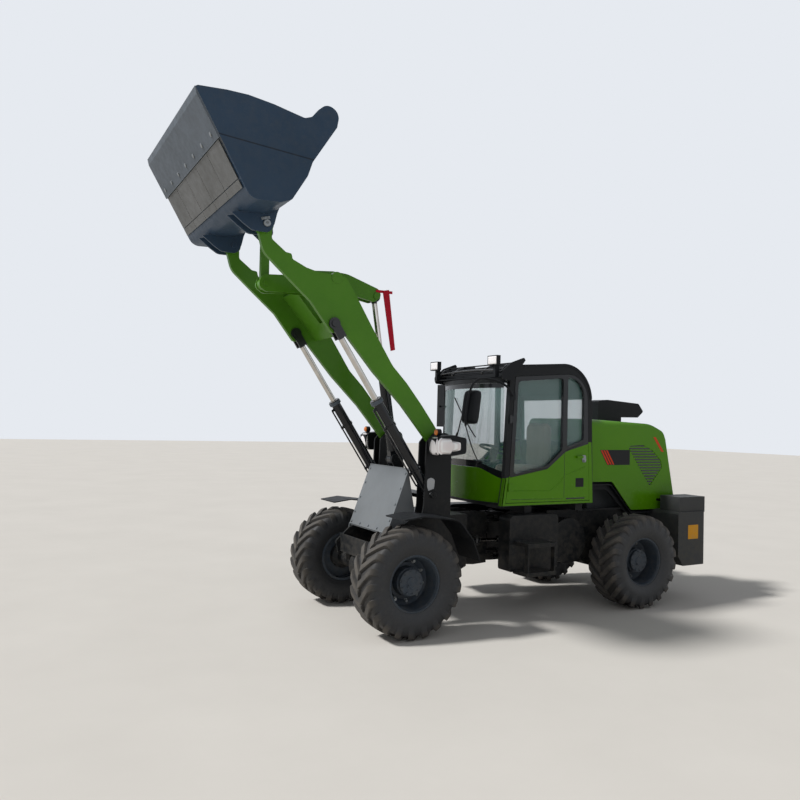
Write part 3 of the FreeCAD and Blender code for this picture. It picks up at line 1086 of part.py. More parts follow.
# Inside: seat, steering column, side console
floor_top = d.cab_floor_z + 30
seat_stand = box("seat_stand", 380, 380, 250, (hinge - 640, -190, floor_top))
console = box("console", 620, 150, 420, (hinge - 700, -430, floor_top))
console_foot = box("console_foot", 300, 100, 40, (hinge - 600, -285, floor_top))
node(fuse("seat_base_all", [seat_stand, console, console_foot]), "seat_base")
cushion = box("seat_cushion_box", 500, 480, 130, (hinge - 690, -240, floor_top + 250.3))
node(cushion, "seat_cushion")
backrest = box("seat_back_box", 120, 460, 620, (hinge - 810, -230, floor_top + 300))
node(backrest, "seat_back")
column = cylinder("column", 45, 546, (hinge + 86, 0, floor_top + 15), "Z", FreeCAD.Rotation(V(0, 1, 0), -18))
column_foot = box("column_foot", 150, 130, 40, (hinge + 10, -65, floor_top))
wheel = doc.addObject("Part::Torus", "steering_wheel")
bind(wheel, "Radius1", d.wheel_ring)
bind(wheel, "Radius2", d.wheel_grip)
place(wheel, (hinge - 95, 0, floor_top + 560), FreeCAD.Rotation(V(0, 1, 0), -18))
hub = cylinder("wheel_hub", 50, 40, (hinge - 83, 0, floor_top + 525), "Z", FreeCAD.Rotation(V(0, 1, 0), -18))
spoke = box("wheel_spoke", 30, 2 * d.wheel_ring, 14, (hinge - 110, -1 * d.wheel_ring, floor_top + 550))
node(fuse("column_all", [column, column_foot, wheel, hub, spoke]), "steering_column")

# Headlights: a tapering housing with a proud lens, a round turn lamp on top, and a bracket from the tower
lamp_body = plate("headlight_body", [
    (hinge + 900, 1780, 30), (hinge + 1060, 1755, 40), (hinge + 1225, 1750, 30), (hinge + 1245, 1945, 30),
    (hinge + 1060, 1965, 40), (hinge + 900, 1935, 30),
], 690, 170)
lamp_lens = plate("headlight_lens", [
    (hinge + 1220, 1768), (hinge + 1250, 1768, 14), (hinge + 1266, 1930, 14), (hinge + 1236, 1930),
], 706, 138)
turn_lamp = cylinder("turn_lamp", 34, 46, (hinge + 1176, 790, 1990), "X")
turn_stem = box("turn_lamp_stem", 30, 30, 50, (hinge + 1180, 775, 1940))
lamp_arm = box("headlight_arm", 50, 130, 30, (hinge + 990, tower_out + d.tower_plate, 1770))
for obj, label in zip(both(fuse("headlight_all", [lamp_body, lamp_lens, turn_lamp, turn_stem, lamp_arm])),
                      ("headlight_left", "headlight_right")):
    node(obj, label)


doc.recompute()
for obj in doc.Objects:
    if "Invalid" in obj.State or "Error" in obj.State:
        raise RuntimeError(f"{obj.Name} did not compute: {obj.State}")
for label, obj in nodes.items():
    if obj.Shape.isNull() or not obj.Shape.isValid() or not obj.Shape.Solids:
        raise RuntimeError(f"{label} has no valid shape")
os.makedirs("parts", exist_ok=True)
for label, obj in nodes.items():
    obj.Shape.exportStep(f"parts/{label}.step")
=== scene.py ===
"""Wheel loader with raised arms: finishes, tyres, glass, seat, lamps and small fittings over its frame."""

import json
import math

import bmesh
import bpy
import numpy as np
from mathutils import Matrix, Vector


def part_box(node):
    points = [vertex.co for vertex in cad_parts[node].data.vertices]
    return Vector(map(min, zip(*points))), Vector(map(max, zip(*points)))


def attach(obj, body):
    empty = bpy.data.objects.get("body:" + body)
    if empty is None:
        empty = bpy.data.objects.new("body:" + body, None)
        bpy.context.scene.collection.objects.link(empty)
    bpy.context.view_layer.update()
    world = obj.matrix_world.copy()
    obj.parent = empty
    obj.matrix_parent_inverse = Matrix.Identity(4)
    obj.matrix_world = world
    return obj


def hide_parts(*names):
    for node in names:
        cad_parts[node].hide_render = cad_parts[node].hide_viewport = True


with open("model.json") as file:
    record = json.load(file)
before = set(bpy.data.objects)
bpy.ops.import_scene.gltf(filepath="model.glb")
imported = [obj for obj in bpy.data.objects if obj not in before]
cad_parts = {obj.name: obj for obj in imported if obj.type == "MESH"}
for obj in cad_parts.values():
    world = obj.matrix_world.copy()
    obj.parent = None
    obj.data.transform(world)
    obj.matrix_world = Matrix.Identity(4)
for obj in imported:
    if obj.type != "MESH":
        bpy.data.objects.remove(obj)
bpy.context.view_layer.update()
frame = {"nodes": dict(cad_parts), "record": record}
nodes = frame["nodes"]
HINGE = -0.538  # x of the centre hinge; places below are metres ahead of it, to the left, above the ground
rng = np.random.default_rng(7)


def at(x, y, z):
    """A point given from the centre hinge, in the machine's frame."""
    return np.array([HINGE + x, y, z])


def unit(v):
    return v / np.linalg.norm(v)


# finishes


def linear(hex_colour):
    """An sRGB hex colour as linear red, green, blue, alpha."""
    c = np.array([int(hex_colour[i : i + 2], 16) for i in (1, 3, 5)]) / 255
    c = np.where(c <= 0.04045, c / 12.92, ((c + 0.055) / 1.055) ** 2.4)
    return (*c.tolist(), 1.0)


def add(tree, kind, inputs=None, **settings):
    """Adds one node, sets its properties, and fills its inputs with values or links."""
    node = tree.nodes.new("ShaderNode" + kind)
    for key, value in settings.items():
        setattr(node, key, value)
    for key, value in (inputs or {}).items():
        socket = node.inputs[key]
        if isinstance(value, bpy.types.NodeSocket):
            tree.links.new(value, socket)
        else:
            socket.default_value = value
    return node


def start(name, **shader):
    """An empty material with a Principled shader; the names are the shader's sockets."""
    finish = bpy.data.materials.new(name)
    finish.use_nodes = True
    tree = finish.node_tree
    tree.nodes.clear()
    surface = add(tree, "BsdfPrincipled", {k.replace("_", " "): v for k, v in shader.items()})
    out = add(tree, "OutputMaterial")
    tree.links.new(surface.outputs[0], out.inputs[0])
    return finish, tree, surface


def place_of(tree):
    """Object coordinates, in metres from the frame's origin."""
    return add(tree, "TexCoord").outputs["Object"]


def ramp(tree, value, a, b, low=0.0, high=1.0):
    """A value between a and b carried to between low and high."""
    return add(tree, "MapRange", {"Value": value, 1: a, 2: b, 3: low, 4: high}).outputs[0]


def times(tree, a, b):
    return add(tree, "Math", {0: a, 1: b}, operation="MULTIPLY").outputs[0]


def noise(tree, scale, detail=4, rough=0.6):
    return add(tree, "TexNoise", {"Vector": place_of(tree), "Scale": scale, "Detail": detail,
                                  "Roughness": rough}).outputs[0]


def worn_edge(tree, radius, low, high):
    """0 on flats, 1 on outer edges: how far the rounded normal leans from the true one, less some noise."""
    soft = add(tree, "Bevel", {"Radius": radius}, samples=4)
    true = add(tree, "NewGeometry")
    lean = add(tree, "VectorMath", {0: soft.outputs[0], 1: true.outputs["Normal"]}, operation="DOT_PRODUCT")
    broken = add(tree, "Math", {0: lean.outputs["Value"], 1: noise(tree, 45, 5, 0.7)}, operation="SUBTRACT")
    return ramp(tree, broken.outputs[0], high, low)


def blend_colour(tree, amount, under, over):
    """Mixes two colours, hex values or links, by an amount from 0 to 1."""
    mix = add(tree, "Mix", {0: amount}, data_type="RGBA")
    for index, colour in ((6, under), (7, over)):
        if isinstance(colour, str):
            mix.inputs[index].default_value = linear(colour)
        else:
            tree.links.new(colour, mix.inputs[index])
    return mix.outputs[2]


def bump(tree, surface, height, strength, distance):
    tree.links.new(add(tree, "Bump", {"Strength": strength, "Distance": distance, "Height": height}).outputs[0],
                   surface.inputs["Normal"])


def enamel(name, base, shade, dust, rough, edge="#8a8d8c", dust_from=0.2, dust_to=1.5,
           dust_top=0.35, peel=0.05, coat=0.0, wear=0.55, patch=None, rub=None):
    """Sprayed two-pack enamel on welded steel: slow drift of the film's thickness, orange peel, road dust
    that thins with height, and pale edges where the film is knocked off. patch(tree) gives another colour's
    amount, hex and roughness; rub(tree) gives bare metal's amount and hex."""
    finish, tree, surface = start(name, Coat_Weight=coat, Coat_Roughness=0.06)
    surface.inputs["Specular IOR Level"].default_value = 0.16
    at_point = place_of(tree)
    film = blend_colour(tree, ramp(tree, noise(tree, 1.7, 3), 0.3, 0.7), base, shade)
    height = add(tree, "SeparateXYZ", {0: at_point}).outputs[2]
    low = ramp(tree, height, dust_to, dust_from)
    specks = ramp(tree, noise(tree, 14, 7, 0.72), 0.42, 0.72)
    dirty = times(tree, times(tree, low, specks), dust_top)
    gloss = ramp(tree, specks, 0.0, 1.0, rough, rough + 0.1)
    if patch:
        amount, other, other_rough = patch(tree)
        film = blend_colour(tree, amount, film, other)
        gloss = add(tree, "Mix", {0: amount, 2: gloss, 3: other_rough}).outputs[0]
    film = blend_colour(tree, dirty, film, dust)
    edges = times(tree, worn_edge(tree, 0.0035, 0.12, 0.34), wear)
    film = blend_colour(tree, edges, film, edge)
    if rub:
        worn, bare = rub(tree)
        film = blend_colour(tree, worn, film, bare)
    tree.links.new(film, surface.inputs["Base Color"])
    tree.links.new(add(tree, "Math", {0: gloss, 1: dirty}, operation="ADD", use_clamp=True).outputs[0],
                   surface.inputs["Roughness"])
    bump(tree, surface, noise(tree, 260, 2), peel, 0.0006)
    return finish


def beyond(tree, point, way, width=0.004):
    """0 behind a plane through a point and 1 ahead of it along a direction."""
    away = add(tree, "VectorMath", {0: place_of(tree), 1: tuple(point)}, operation="SUBTRACT").outputs[0]
    along = add(tree, "VectorMath", {0: away, 1: tuple(way)}, operation="DOT_PRODUCT").outputs["Value"]
    return ramp(tree, along, -width / 2, width / 2)


body_green = enamel("lime_green_gloss_enamel", "#558d08", "#4e8606", "#7b8a3a", 0.2, coat=0.05,
                    wear=0.15, dust_top=0.2, edge="#7f9a52")
arm_green = enamel("leaf_green_satin_enamel", "#4f8420", "#487a1e", "#7d8a5e", 0.3, coat=0.05, wear=0.35,
                   edge="#8ea070", dust_from=1.5, dust_to=5, dust_top=0.12)
black_enamel = enamel("chassis_black_satin_enamel", "#17191b", "#1d1f21", "#6d665c", 0.38,
                      dust_top=0.45, wear=0.4)
grey_enamel = enamel("cover_grey_satin_enamel", "#74787b", "#6a6e71", "#8d877c", 0.42, wear=0.4)
weight_enamel = enamel("counterweight_grey_enamel", "#3f4041", "#383a3b", "#77705f", 0.5, peel=0.25)
rim_enamel = enamel("wheel_slate_enamel", "#3d4650", "#353d46", "#766f63", 0.35, dust_top=0.3)
cylinder_enamel = enamel("cylinder_black_gloss_enamel", "#14161a", "#1b1e22", "#5d584f", 0.22,
                         coat=0.4, wear=0.3)
red_enamel = enamel("indicator_red_enamel", "#c8102e", "#b00e28", "#8d6a5e", 0.28, wear=0.3)
iron = enamel("engine_grey_cast_iron", "#45494c", "#3a3e41", "#5e5648", 0.55, peel=0.6)
plastic = enamel("moulded_black_abs", "#15171a", "#1a1c1f", "#4c4943", 0.5, wear=0.0, peel=0.35)
sash = enamel("black_window_sash", "#101215", "#15171a", "#4c4943", 0.2, wear=0.05, coat=0.5)
yellow_plate = enamel("amber_sign_film", "#d99a1c", "#cf9016", "#8d877c", 0.35, wear=0.1)
orange_film = enamel("orange_red_film", "#d9481f", "#cc3f1a", "#8d877c", 0.3, wear=0.0)
pale_film = enamel("pale_grey_film", "#b9bcbf", "#aeb1b4", "#8d877c", 0.35, wear=0.0)
amber = enamel("amber_lamp_lens", "#d9770f", "#c96a08", "#8d877c", 0.15, coat=1.0, wear=0.0)
red_lens = enamel("red_lamp_lens", "#9d1414", "#8a0f10", "#8d877c", 0.15, coat=1.0, wear=0.0)
zinc = enamel("zinc_plated_bolt", "#8e9294", "#7d8183", "#6d665c", 0.32, wear=0.2)
zinc.node_tree.nodes["Principled BSDF"].inputs["Metallic"].default_value = 0.8

# bucket pin, the floor's direction and the cutting edge's tip, as the frame has them
PIN = at(2.985, 0, 3.875)
FLOOR = np.array([math.cos(math.radians(59.5)), 0, math.sin(math.radians(59.5))])
OUT = np.array([FLOOR[2], 0, -FLOOR[0]])
TIP = PIN + np.array([0.805, 0, 0.912])


def scuffs(tree, scale=(3, 3, 30)):
    """Long scratches: noise drawn out along one axis."""
    drawn = add(tree, "Mapping", {"Vector": place_of(tree), "Scale": scale}).outputs[0]
    return add(tree, "TexNoise", {"Vector": drawn, "Scale": 6, "Detail": 8, "Roughness": 0.75}).outputs[0]


def facing_side(tree, a, b):
    """How far a face looks to either side, carried from a and b to 0 and 1."""
    facing = add(tree, "SeparateXYZ", {0: add(tree, "NewGeometry").outputs["Normal"]}).outputs[1]
    return ramp(tree, add(tree, "Math", {0: facing}, operation="ABSOLUTE").outputs[0], a, b)


def bucket_rub(tree):
    """Bare steel inside the bucket: a band that fades from the cutting edge back along the floor."""
    near = beyond(tree, TIP - 0.62 * FLOOR, FLOOR, 0.9)
    worn = ramp(tree, add(tree, "Math", {0: near, 1: scuffs(tree)}, operation="ADD").outputs[0], 1.02, 1.3)
    return times(tree, worn, facing_side(tree, 0.7, 0.3)), "#6f6f6a"


def bucket_bend_shade(tree):
    """Painted shade along the bend pressed across the side plates: a dark line 12 mm wide."""
    front, back = at(3.575, 0, 4.451), at(2.712, 0, 4.393)
    square = unit(np.cross(back - front, (0, 1, 0)))
    over, past = (beyond(tree, front + wide * square, square, 0.006) for wide in (0, 0.012))
    line = add(tree, "Math", {0: over, 1: past}, operation="SUBTRACT", use_clamp=True).outputs[0]
    return times(tree, times(tree, line, facing_side(tree, 0.8, 0.9)), 0.8), "#141b24", 0.5


# the patch is painted shade: a dark line along the bend of the side plates
bucket_enamel = enamel("bucket_blue_grey_enamel", "#34475c", "#2e4053", "#6f6a60", 0.36, patch=bucket_bend_shade,
                       dust_from=6, dust_to=3, dust_top=0.22, edge="#9aa0a3", rub=bucket_rub)
steel = enamel("worn_edge_steel", "#5c646d", "#505860", "#77736a", 0.42, edge="#b9bcbc", dust_from=6, dust_to=3,
               wear=0.8)
plate_steel = enamel("worn_floor_plate", "#6f7070", "#5f605f", "#5d564a", 0.45, edge="#a9a69c", dust_from=6,
                     dust_to=3, wear=0.7)


def tyre_rubber():
    """Carbon black rubber, dusty where the piece's tread attribute is 1 and darker down the sidewall."""
    finish, tree, surface = start("carbon_black_rubber", Roughness=0.7)
    tread = add(tree, "Attribute", attribute_name="tread").outputs["Fac"]
    cake = ramp(tree, noise(tree, 9, 6, 0.7), 0.35, 0.7)
    under = blend_colour(tree, noise(tree, 4, 3), "#191a1d", "#212326")
    dusty = times(tree, tread, ramp(tree, cake, 0, 1, 0.25, 0.85))
    film = blend_colour(tree, dusty, under, "#5a544c")
    splash = times(tree, ramp(tree, noise(tree, 26, 6, 0.75), 0.5, 0.75), 0.07)
    film = blend_colour(tree, splash, film, "#7b7468")
    tree.links.new(film, surface.inputs["Base Color"])
    tree.links.new(ramp(tree, dusty, 0, 1, 0.6, 0.92), surface.inputs["Roughness"])
    bump(tree, surface, noise(tree, 120, 6, 0.7), 0.35, 0.002)
    return finish


rubber = tyre_rubber()


def polished_rod(name, joints):
    """Hard chrome on a ground rod, black enamel on the eye or clevis past the joint line: (point, direction)."""
    finish, tree, surface = start(name, Metallic=1.0, Roughness=0.12)
    film = noise(tree, 9)
    shine = blend_colour(tree, film, "#d8d6d2", "#a9a39a")
    gloss = ramp(tree, film, 0.3, 0.7, 0.08, 0.2)
    dark = beyond(tree, *joints)
    tree.links.new(blend_colour(tree, dark, shine, "#17191c"), surface.inputs["Base Color"])
    tree.links.new(add(tree, "Mix", {0: dark, 2: gloss, 3: 0.35}).outputs[0], surface.inputs["Roughness"])
    metal = add(tree, "Math", {0: 1.0, 1: dark}, operation="SUBTRACT").outputs[0]
    tree.links.new(metal, surface.inputs["Metallic"])
    return finish


LIFT_BASE, LIFT_EYE = at(1.12, 0, 1.34), at(2.258, 0, 3.02)
TILT_BASE, CRANK_REAR = at(1.27, 0, 1.68), at(1.565, 0, 3.425)
STEER_EYE = at(0.35, 0, 0.79)
lift_way, tilt_way = unit(LIFT_EYE - LIFT_BASE), unit(CRANK_REAR - TILT_BASE)
lift_chrome = polished_rod("hard_chrome_lift_rod", (LIFT_EYE - 0.166 * lift_way, lift_way))
tilt_chrome = polished_rod("hard_chrome_tilt_rod", (CRANK_REAR - 0.075 * tilt_way, tilt_way))
steer_way = np.array([1.0, 0, 0])
steer_chrome = polished_rod("hard_chrome_steering_rod", (STEER_EYE - 0.045 * steer_way, steer_way))


def tinted_glass(name, tint, deep, alpha):
    """Tempered cab glass, 5 mm, faint blue-green, with a little dust that dulls it."""
    finish, tree, surface = start(name, Roughness=0.02, IOR=1.5, Alpha=alpha)
    surface.inputs["Specular IOR Level"].default_value = 1.0
    surface.inputs["Coat Weight"].default_value = 1.0
    haze = noise(tree, 3, 5)
    tree.links.new(blend_colour(tree, haze, deep, tint), surface.inputs["Base Color"])
    tree.links.new(ramp(tree, haze, 0, 1, 0.01, 0.09), surface.inputs["Roughness"])
    return finish


glass = tinted_glass("tempered_green_tint_glass", "#8db8b2", "#6a9390", 0.24)


def mirror_face():
    """Silvered glass: nearly clear reflection, a breath of dust towards the rim."""
    finish, tree, surface = start("silvered_mirror_glass", Metallic=1.0, Roughness=0.04)
    haze = noise(tree, 12, 5)
    tree.links.new(blend_colour(tree, haze, "#dfe5e8", "#c3cacd"), surface.inputs["Base Color"])
    tree.links.new(ramp(tree, haze, 0.3, 0.8, 0.03, 0.14), surface.inputs["Roughness"])
    return finish


silvered = mirror_face()


def woven_seat():
    """Seat cloth, plain weave at 2.4 mm so that it shows, over dusty pink-beige yarn."""
    finish, tree, surface = start("beige_seat_cloth", Roughness=0.9, Sheen_Weight=0.4)
    wave = add(tree, "TexWave", {"Vector": place_of(tree), "Scale": 130, "Distortion": 1.2},
               bands_direction="DIAGONAL")
    shade = blend_colour(tree, ramp(tree, noise(tree, 7, 4), 0.35, 0.7), "#b39a8a", "#9d8576")
    tree.links.new(blend_colour(tree, times(tree, wave.outputs[1], 0.45), shade, "#d0bbae"),
                   surface.inputs["Base Color"])
    bump(tree, surface, wave.outputs[1], 0.5, 0.001)
    return finish


cloth = woven_seat()


def lamp_lens():
    """Clear polycarbonate over a bright reflector, fine flutes: the reflector's reflection is painted in as a nearly
    white colour, with painted highlights along the flutes.
    """
    finish, tree, surface = start("fluted_lamp_lens_painted_reflection", Roughness=0.12, Coat_Weight=1.0)
    flutes = add(tree, "TexWave", {"Vector": place_of(tree), "Scale": 18}, bands_direction="Y").outputs[1]
    # painted reflection and highlights: near-white for the reflector, paler bands along the flutes
    tree.links.new(blend_colour(tree, flutes, "#ece4e4", "#ffffff"), surface.inputs["Base Color"])
    bump(tree, surface, flutes, 0.5, 0.002)
    return finish


lens = lamp_lens()

SLOTS = {
    "tyre": rubber, "rim": rim_enamel, "frame_black": black_enamel, "cover_grey": grey_enamel,
    "weight_grey": weight_enamel, "body_green": body_green, "arm_green": arm_green, "bucket_paint": bucket_enamel,
    "worn_steel": steel, "cylinder_black": cylinder_enamel, "chrome": steer_chrome, "indicator_red": red_enamel,
    "engine_iron": iron, "plastic_black": plastic, "glass": glass, "seat_fabric": cloth, "lamp": plastic,
}
OWN_FINISH = {
    "lift_rod_left": lift_chrome, "lift_rod_right": lift_chrome, "tilt_rod": tilt_chrome,
    "left_door_frame": sash, "right_side_frame": sash,
}
for part in frame["record"]["subparts"]:
    for held in nodes[part["node"]].material_slots:
        held.material = OWN_FINISH.get(part["node"], SLOTS[part["material_slot"]])

# making pieces


def piece(name, points, faces, finish, body, crisp=32, slot=None, bevel=0.0, **fields):
    """One mesh piece riding on a body. Edges over `crisp` degrees stay sharp; fields are values per point."""
    mesh = bpy.data.meshes.new(name)
    mesh.from_pydata(np.asarray(points).tolist(), [], [list(f) for f in faces])
    mesh.materials.append(finish)
    for key, values in fields.items():
        mesh.attributes.new(key, "FLOAT", "POINT").data.foreach_set("value", np.asarray(values, np.float32))
    mesh.shade_smooth()
    mesh.set_sharp_from_angle(angle=math.radians(crisp))
    made = bpy.data.objects.new(name, mesh)
    bpy.context.scene.collection.objects.link(made)
    if bevel:
        rounding = made.modifiers.new("rounding", "BEVEL")
        rounding.width, rounding.segments, rounding.limit_method = bevel, 2, "ANGLE"
        rounding.angle_limit = math.radians(30)
        rounding.harden_normals = False
    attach(made, body)
    return made


def sheet_faces(m, n, round_m=False, round_n=False):
    """Quads of an m by n grid of points numbered row by row; either way may close on itself."""
    i = np.arange(m if round_m else m - 1)[:, None]
    j = np.arange(n if round_n else n - 1)[None, :]
    a, b = i * n + j, (i + 1) % m * n + j
    c, e = (i + 1) % m * n + (j + 1) % n, i * n + (j + 1) % n
    return np.stack((a, b, c, e), -1).reshape(-1, 4).tolist()


def mirrored(shape, hand):
    """A shape, or for the hand -1 its twin on the machine's other side."""
    points, faces = shape
    return points * np.array([1, hand, 1]), faces if hand > 0 else [f[::-1] for f in faces]


def closed_faces(m, n):
    """Quads of m rings of n points and a flat face over each end."""
    return sheet_faces(m, n, round_n=True) + [list(range(n)), list(range((m - 1) * n, m * n))]


def joined(parts):
    """Several (points, faces) as one."""
    points, faces, count = [], [], 0
    for p, f in parts:
        points.append(np.asarray(p, float))
        faces += [[i + count for i in face] for face in f]
        count += len(p)
    return np.concatenate(points), faces


def across(way):
    """Two directions square to a direction and to each other."""
    way = unit(np.asarray(way, float))
    side = unit(np.cross(way, (0, 0, 1) if abs(way[2]) < 0.9 else (1, 0, 0)))
    return side, np.cross(way, side)


def turning(profile, centre, way, sides=32):
    """A solid of revolution: profile rows are distance along the axis and radius, the ends flat."""
    profile = np.asarray(profile, float)
    along, radius = profile[:, 0, None, None], profile[:, 1, None, None]
    side, up = across(way)
    angle = np.linspace(0, 2 * math.pi, sides, endpoint=False)
    ring = np.cos(angle)[:, None] * side + np.sin(angle)[:, None] * up
    points = centre + along * unit(np.asarray(way, float)) + radius * ring
    return points.reshape(-1, 3), closed_faces(len(profile), sides)


def band(centre, way, inner, outer, half):
    """A flat ring: a rectangle of two radii and a half width carried round an axis."""
    profile = [(-half, inner), (-half, outer), (half, outer), (half, inner)]
    points = turning(profile, centre, way, 32)[0]
    return fixed((points, sheet_faces(4, 32, round_m=True, round_n=True)))


def fixed(parts):
    """The same pieces with every face turned outward."""
    points, faces = parts
    mesh = bmesh.new()
    made = [mesh.verts.new(p) for p in points]
    for f in faces:
        mesh.faces.new([made[i] for i in f])
    bmesh.ops.recalc_face_normals(mesh, faces=mesh.faces)
    mesh.verts.index_update()
    out = np.array([v.co[:] for v in mesh.verts]), [[v.index for v in f.verts] for f in mesh.faces]
    mesh.free()
    return out


def skin(rings):
    """A solid over rings of equally many points, m by n by 3, with flat ends."""
    m, n = rings.shape[:2]
    return fixed((rings.reshape(-1, 3), closed_faces(m, n)))


def bolts(places, way, width, height, washer=True):
    """Hex heads with a chamfered top, each on a round washer, at many places with one direction."""
    way = unit(np.asarray(way, float))
    r = width / math.sqrt(3)
    head = turning([(0, r), (height * 0.82, r), (height, r * 0.84)], np.zeros(3), way, 6)
    kit = [head]
    if washer:
        kit.append(turning([(-0.001, r * 1.35), (height * 0.22, r * 1.35)], np.zeros(3), way, 14))
    points, faces = fixed(joined(kit))
    return joined([(points + np.asarray(place), faces) for place in places])


def smooth_line(points, steps=10):
    """A line through points: Catmull-Rom pieces, evenly stepped."""
    p = np.asarray(points, float)
    p = np.vstack((2 * p[0] - p[1], p, 2 * p[-1] - p[-2]))
    t = np.linspace(0, 1, steps, endpoint=False)[:, None]
    runs = [0.5 * ((2 * b) + (c - a) * t + (2 * a - 5 * b + 4 * c - d) * t**2
                   + (3 * b - a - 3 * c + d) * t**3)
            for a, b, c, d in zip(p[:-3], p[1:-2], p[2:-1], p[3:])]
    return np.vstack(runs + [p[-2:-1]])


def pipe(points, radius, sides=12, steps=10):
    """A round pipe along a smooth line, with flat ends: each ring is square to the line."""
    line = smooth_line(points, steps)
    ahead = np.gradient(line, axis=0)
    ahead /= np.linalg.norm(ahead, axis=1)[:, None]
    level = np.linalg.svd(line - line.mean(0))[2][2]
    side = np.cross(ahead, level)
    side /= np.linalg.norm(side, axis=1)[:, None]
    up = np.cross(ahead, side)
    angle = np.linspace(0, 2 * math.pi, sides, endpoint=False)
    ring = np.cos(angle)[None, :, None] * side[:, None] + np.sin(angle)[None, :, None] * up[:, None]
    return skin(line[:, None] + radius * ring)


def rounded(outline, radius, steps=5):
    """An outline with each corner replaced by an arc; radius may be one value or one per corner."""
    p = np.asarray(outline, float)
    radius = np.broadcast_to(radius, len(p))
    before, after = np.roll(p, 1, 0) - p, np.roll(p, -1, 0) - p
    la, lb = np.linalg.norm(before, axis=1), np.linalg.norm(after, axis=1)
    a, b = before / la[:, None], after / lb[:, None]
    half = np.arccos(np.clip((a * b).sum(1), -1, 1)) / 2
    reach = np.minimum(radius / np.tan(half), 0.49 * np.minimum(la, lb))
    t = np.linspace(0, 1, steps)[None, :, None]
    s, e = p + a * reach[:, None], p + b * reach[:, None]
    return ((1 - t) ** 2 * s[:, None] + 2 * t * (1 - t) * p[:, None] + t**2 * e[:, None]).reshape(-1, 2)


def slab(outline, plane, low, high):
    """A plate between two levels over an outline; plane XZ or YZ gives the outline's own axes."""
    flat = np.asarray(outline, float)
    i, j, k = {"XZ": (0, 2, 1), "YZ": (1, 2, 0)}[plane]
    points = np.zeros((2, len(flat), 3))
    points[:, :, i], points[:, :, j] = flat[:, 0], flat[:, 1]
    points[0, :, k], points[1, :, k] = low, high
    points[:, :, 0] += HINGE
    return skin(points)


def oblong(x0, x1, z0, z1):
    return [(x0, z0), (x1, z0), (x1, z1), (x0, z1)]


def both_sides(shape):
    """A shape and its twin on the machine's other side."""
    return joined([shape, mirrored(shape, -1)])


# tyres and wheels

WHEEL_Y, WHEEL_Z = 0.803, 0.5375
LUGS = 21
PITCH_MM = 160.8  # from lug to lug along the tread
FLANK = [31, 43]  # mm from a lug's middle line to the edge of its crown and to its foot
SHOULDER_Y = 0.19
LAG = math.radians(18.5)  # how far a lug's shoulder trails its nose
SECTION = [
    # y, r of the carcass; y, r over a lug: from the middle of the tread to the bead
    (0.0000, 0.5070, 0.0000, 0.5372), (0.0060, 0.5070, 0.0060, 0.5372), (0.0500, 0.5062, 0.0500, 0.5366),
    (0.1000, 0.5040, 0.1000, 0.5352), (0.1500, 0.5000, 0.1520, 0.5322), (0.1720, 0.4945, 0.1740, 0.5290),
    (0.1840, 0.4830, 0.1850, 0.5210), (0.1905, 0.4690, 0.1950, 0.5040), (0.1950, 0.4530, 0.2010, 0.4830),
    (0.1980, 0.4370, 0.2035, 0.4600), (0.2005, 0.4210, 0.2040, 0.4370), (0.2020, 0.4080, 0.2022, 0.4080),
    (0.2035, 0.3900, 0.2035, 0.3900), (0.2028, 0.3700, 0.2028, 0.3700), (0.1990, 0.3480, 0.1990, 0.3480),
    (0.1925, 0.3270, 0.1925, 0.3270), (0.1860, 0.3100, 0.1860, 0.3100), (0.1790, 0.2980, 0.1790, 0.2980),
    (0.1770, 0.2880, 0.1770, 0.2880), (0.1690, 0.2785, 0.1690, 0.2785), (0.1525, 0.2778, 0.1525, 0.2778),
    (0.1525, 0.2625, 0.1525, 0.2625),
]


def tyre(where, x, side):
    """Grid of columns round the wheel by rows across it. A column's angle is its own plus the lag times the
    1.15th power of |y| over the shoulder's y, so that columns run along the lugs. Between carcass and lug line
    a point moves by the lug pattern, 0 or 1, with 12 mm flanks. The right half's lugs stand half a pitch on."""
    half = np.array(SECTION)
    rows = np.vstack((half[::-1] * [-1, 1, -1, 1], half[1:]))
    hand = np.sign(rows[:, 0])
    offsets = np.array([-80.4, -65.0, -49.4, -43.0, -37.4, -31.0, -15.0, 0.0, 15.0, 31.0, 37.4, 43.0, 49.4,
                        65.0])
    pitch = 2 * math.pi / LUGS
    column = (np.arange(LUGS)[:, None] * pitch + offsets / PITCH_MM * pitch).ravel()
    near = np.interp(np.abs(offsets), FLANK, [1, 0])[:, None]
    far = np.interp(PITCH_MM / 2 - np.abs(offsets), FLANK, [1, 0])[:, None]
    pattern = np.where(hand > 0, near, np.where(hand < 0, far, np.maximum(near, far)))
    pattern = np.tile(pattern, (LUGS, 1))
    angle = column[:, None] + LAG * np.minimum(np.abs(rows[:, 0]) / SHOULDER_Y, 1.0) ** 1.15
    y = rows[:, 0] + pattern * (rows[:, 2] - rows[:, 0])
    r = rows[:, 1] + pattern * (rows[:, 3] - rows[:, 1])
    wear = 1 - 0.004 * rng.random(len(column))[:, None] * pattern
    points = np.stack((r * wear * np.cos(angle), np.broadcast_to(y, r.shape), r * wear * np.sin(angle)), -1)
    tread = np.clip((r - 0.45) / 0.05, 0, 1) * (0.35 + 0.65 * pattern)
    shape = points.reshape(-1, 3) + np.array([x, side * WHEEL_Y, WHEEL_Z])
    faces = [f[::-1] for f in sheet_faces(len(column), len(rows), round_m=True, round_n=True)]
    made = piece(f"tread_{where}", shape, faces, rubber, f"wheel_{where}", crisp=38, slot="tyre",
                 tread=tread.ravel())
    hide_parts(f"tyre_{where}")


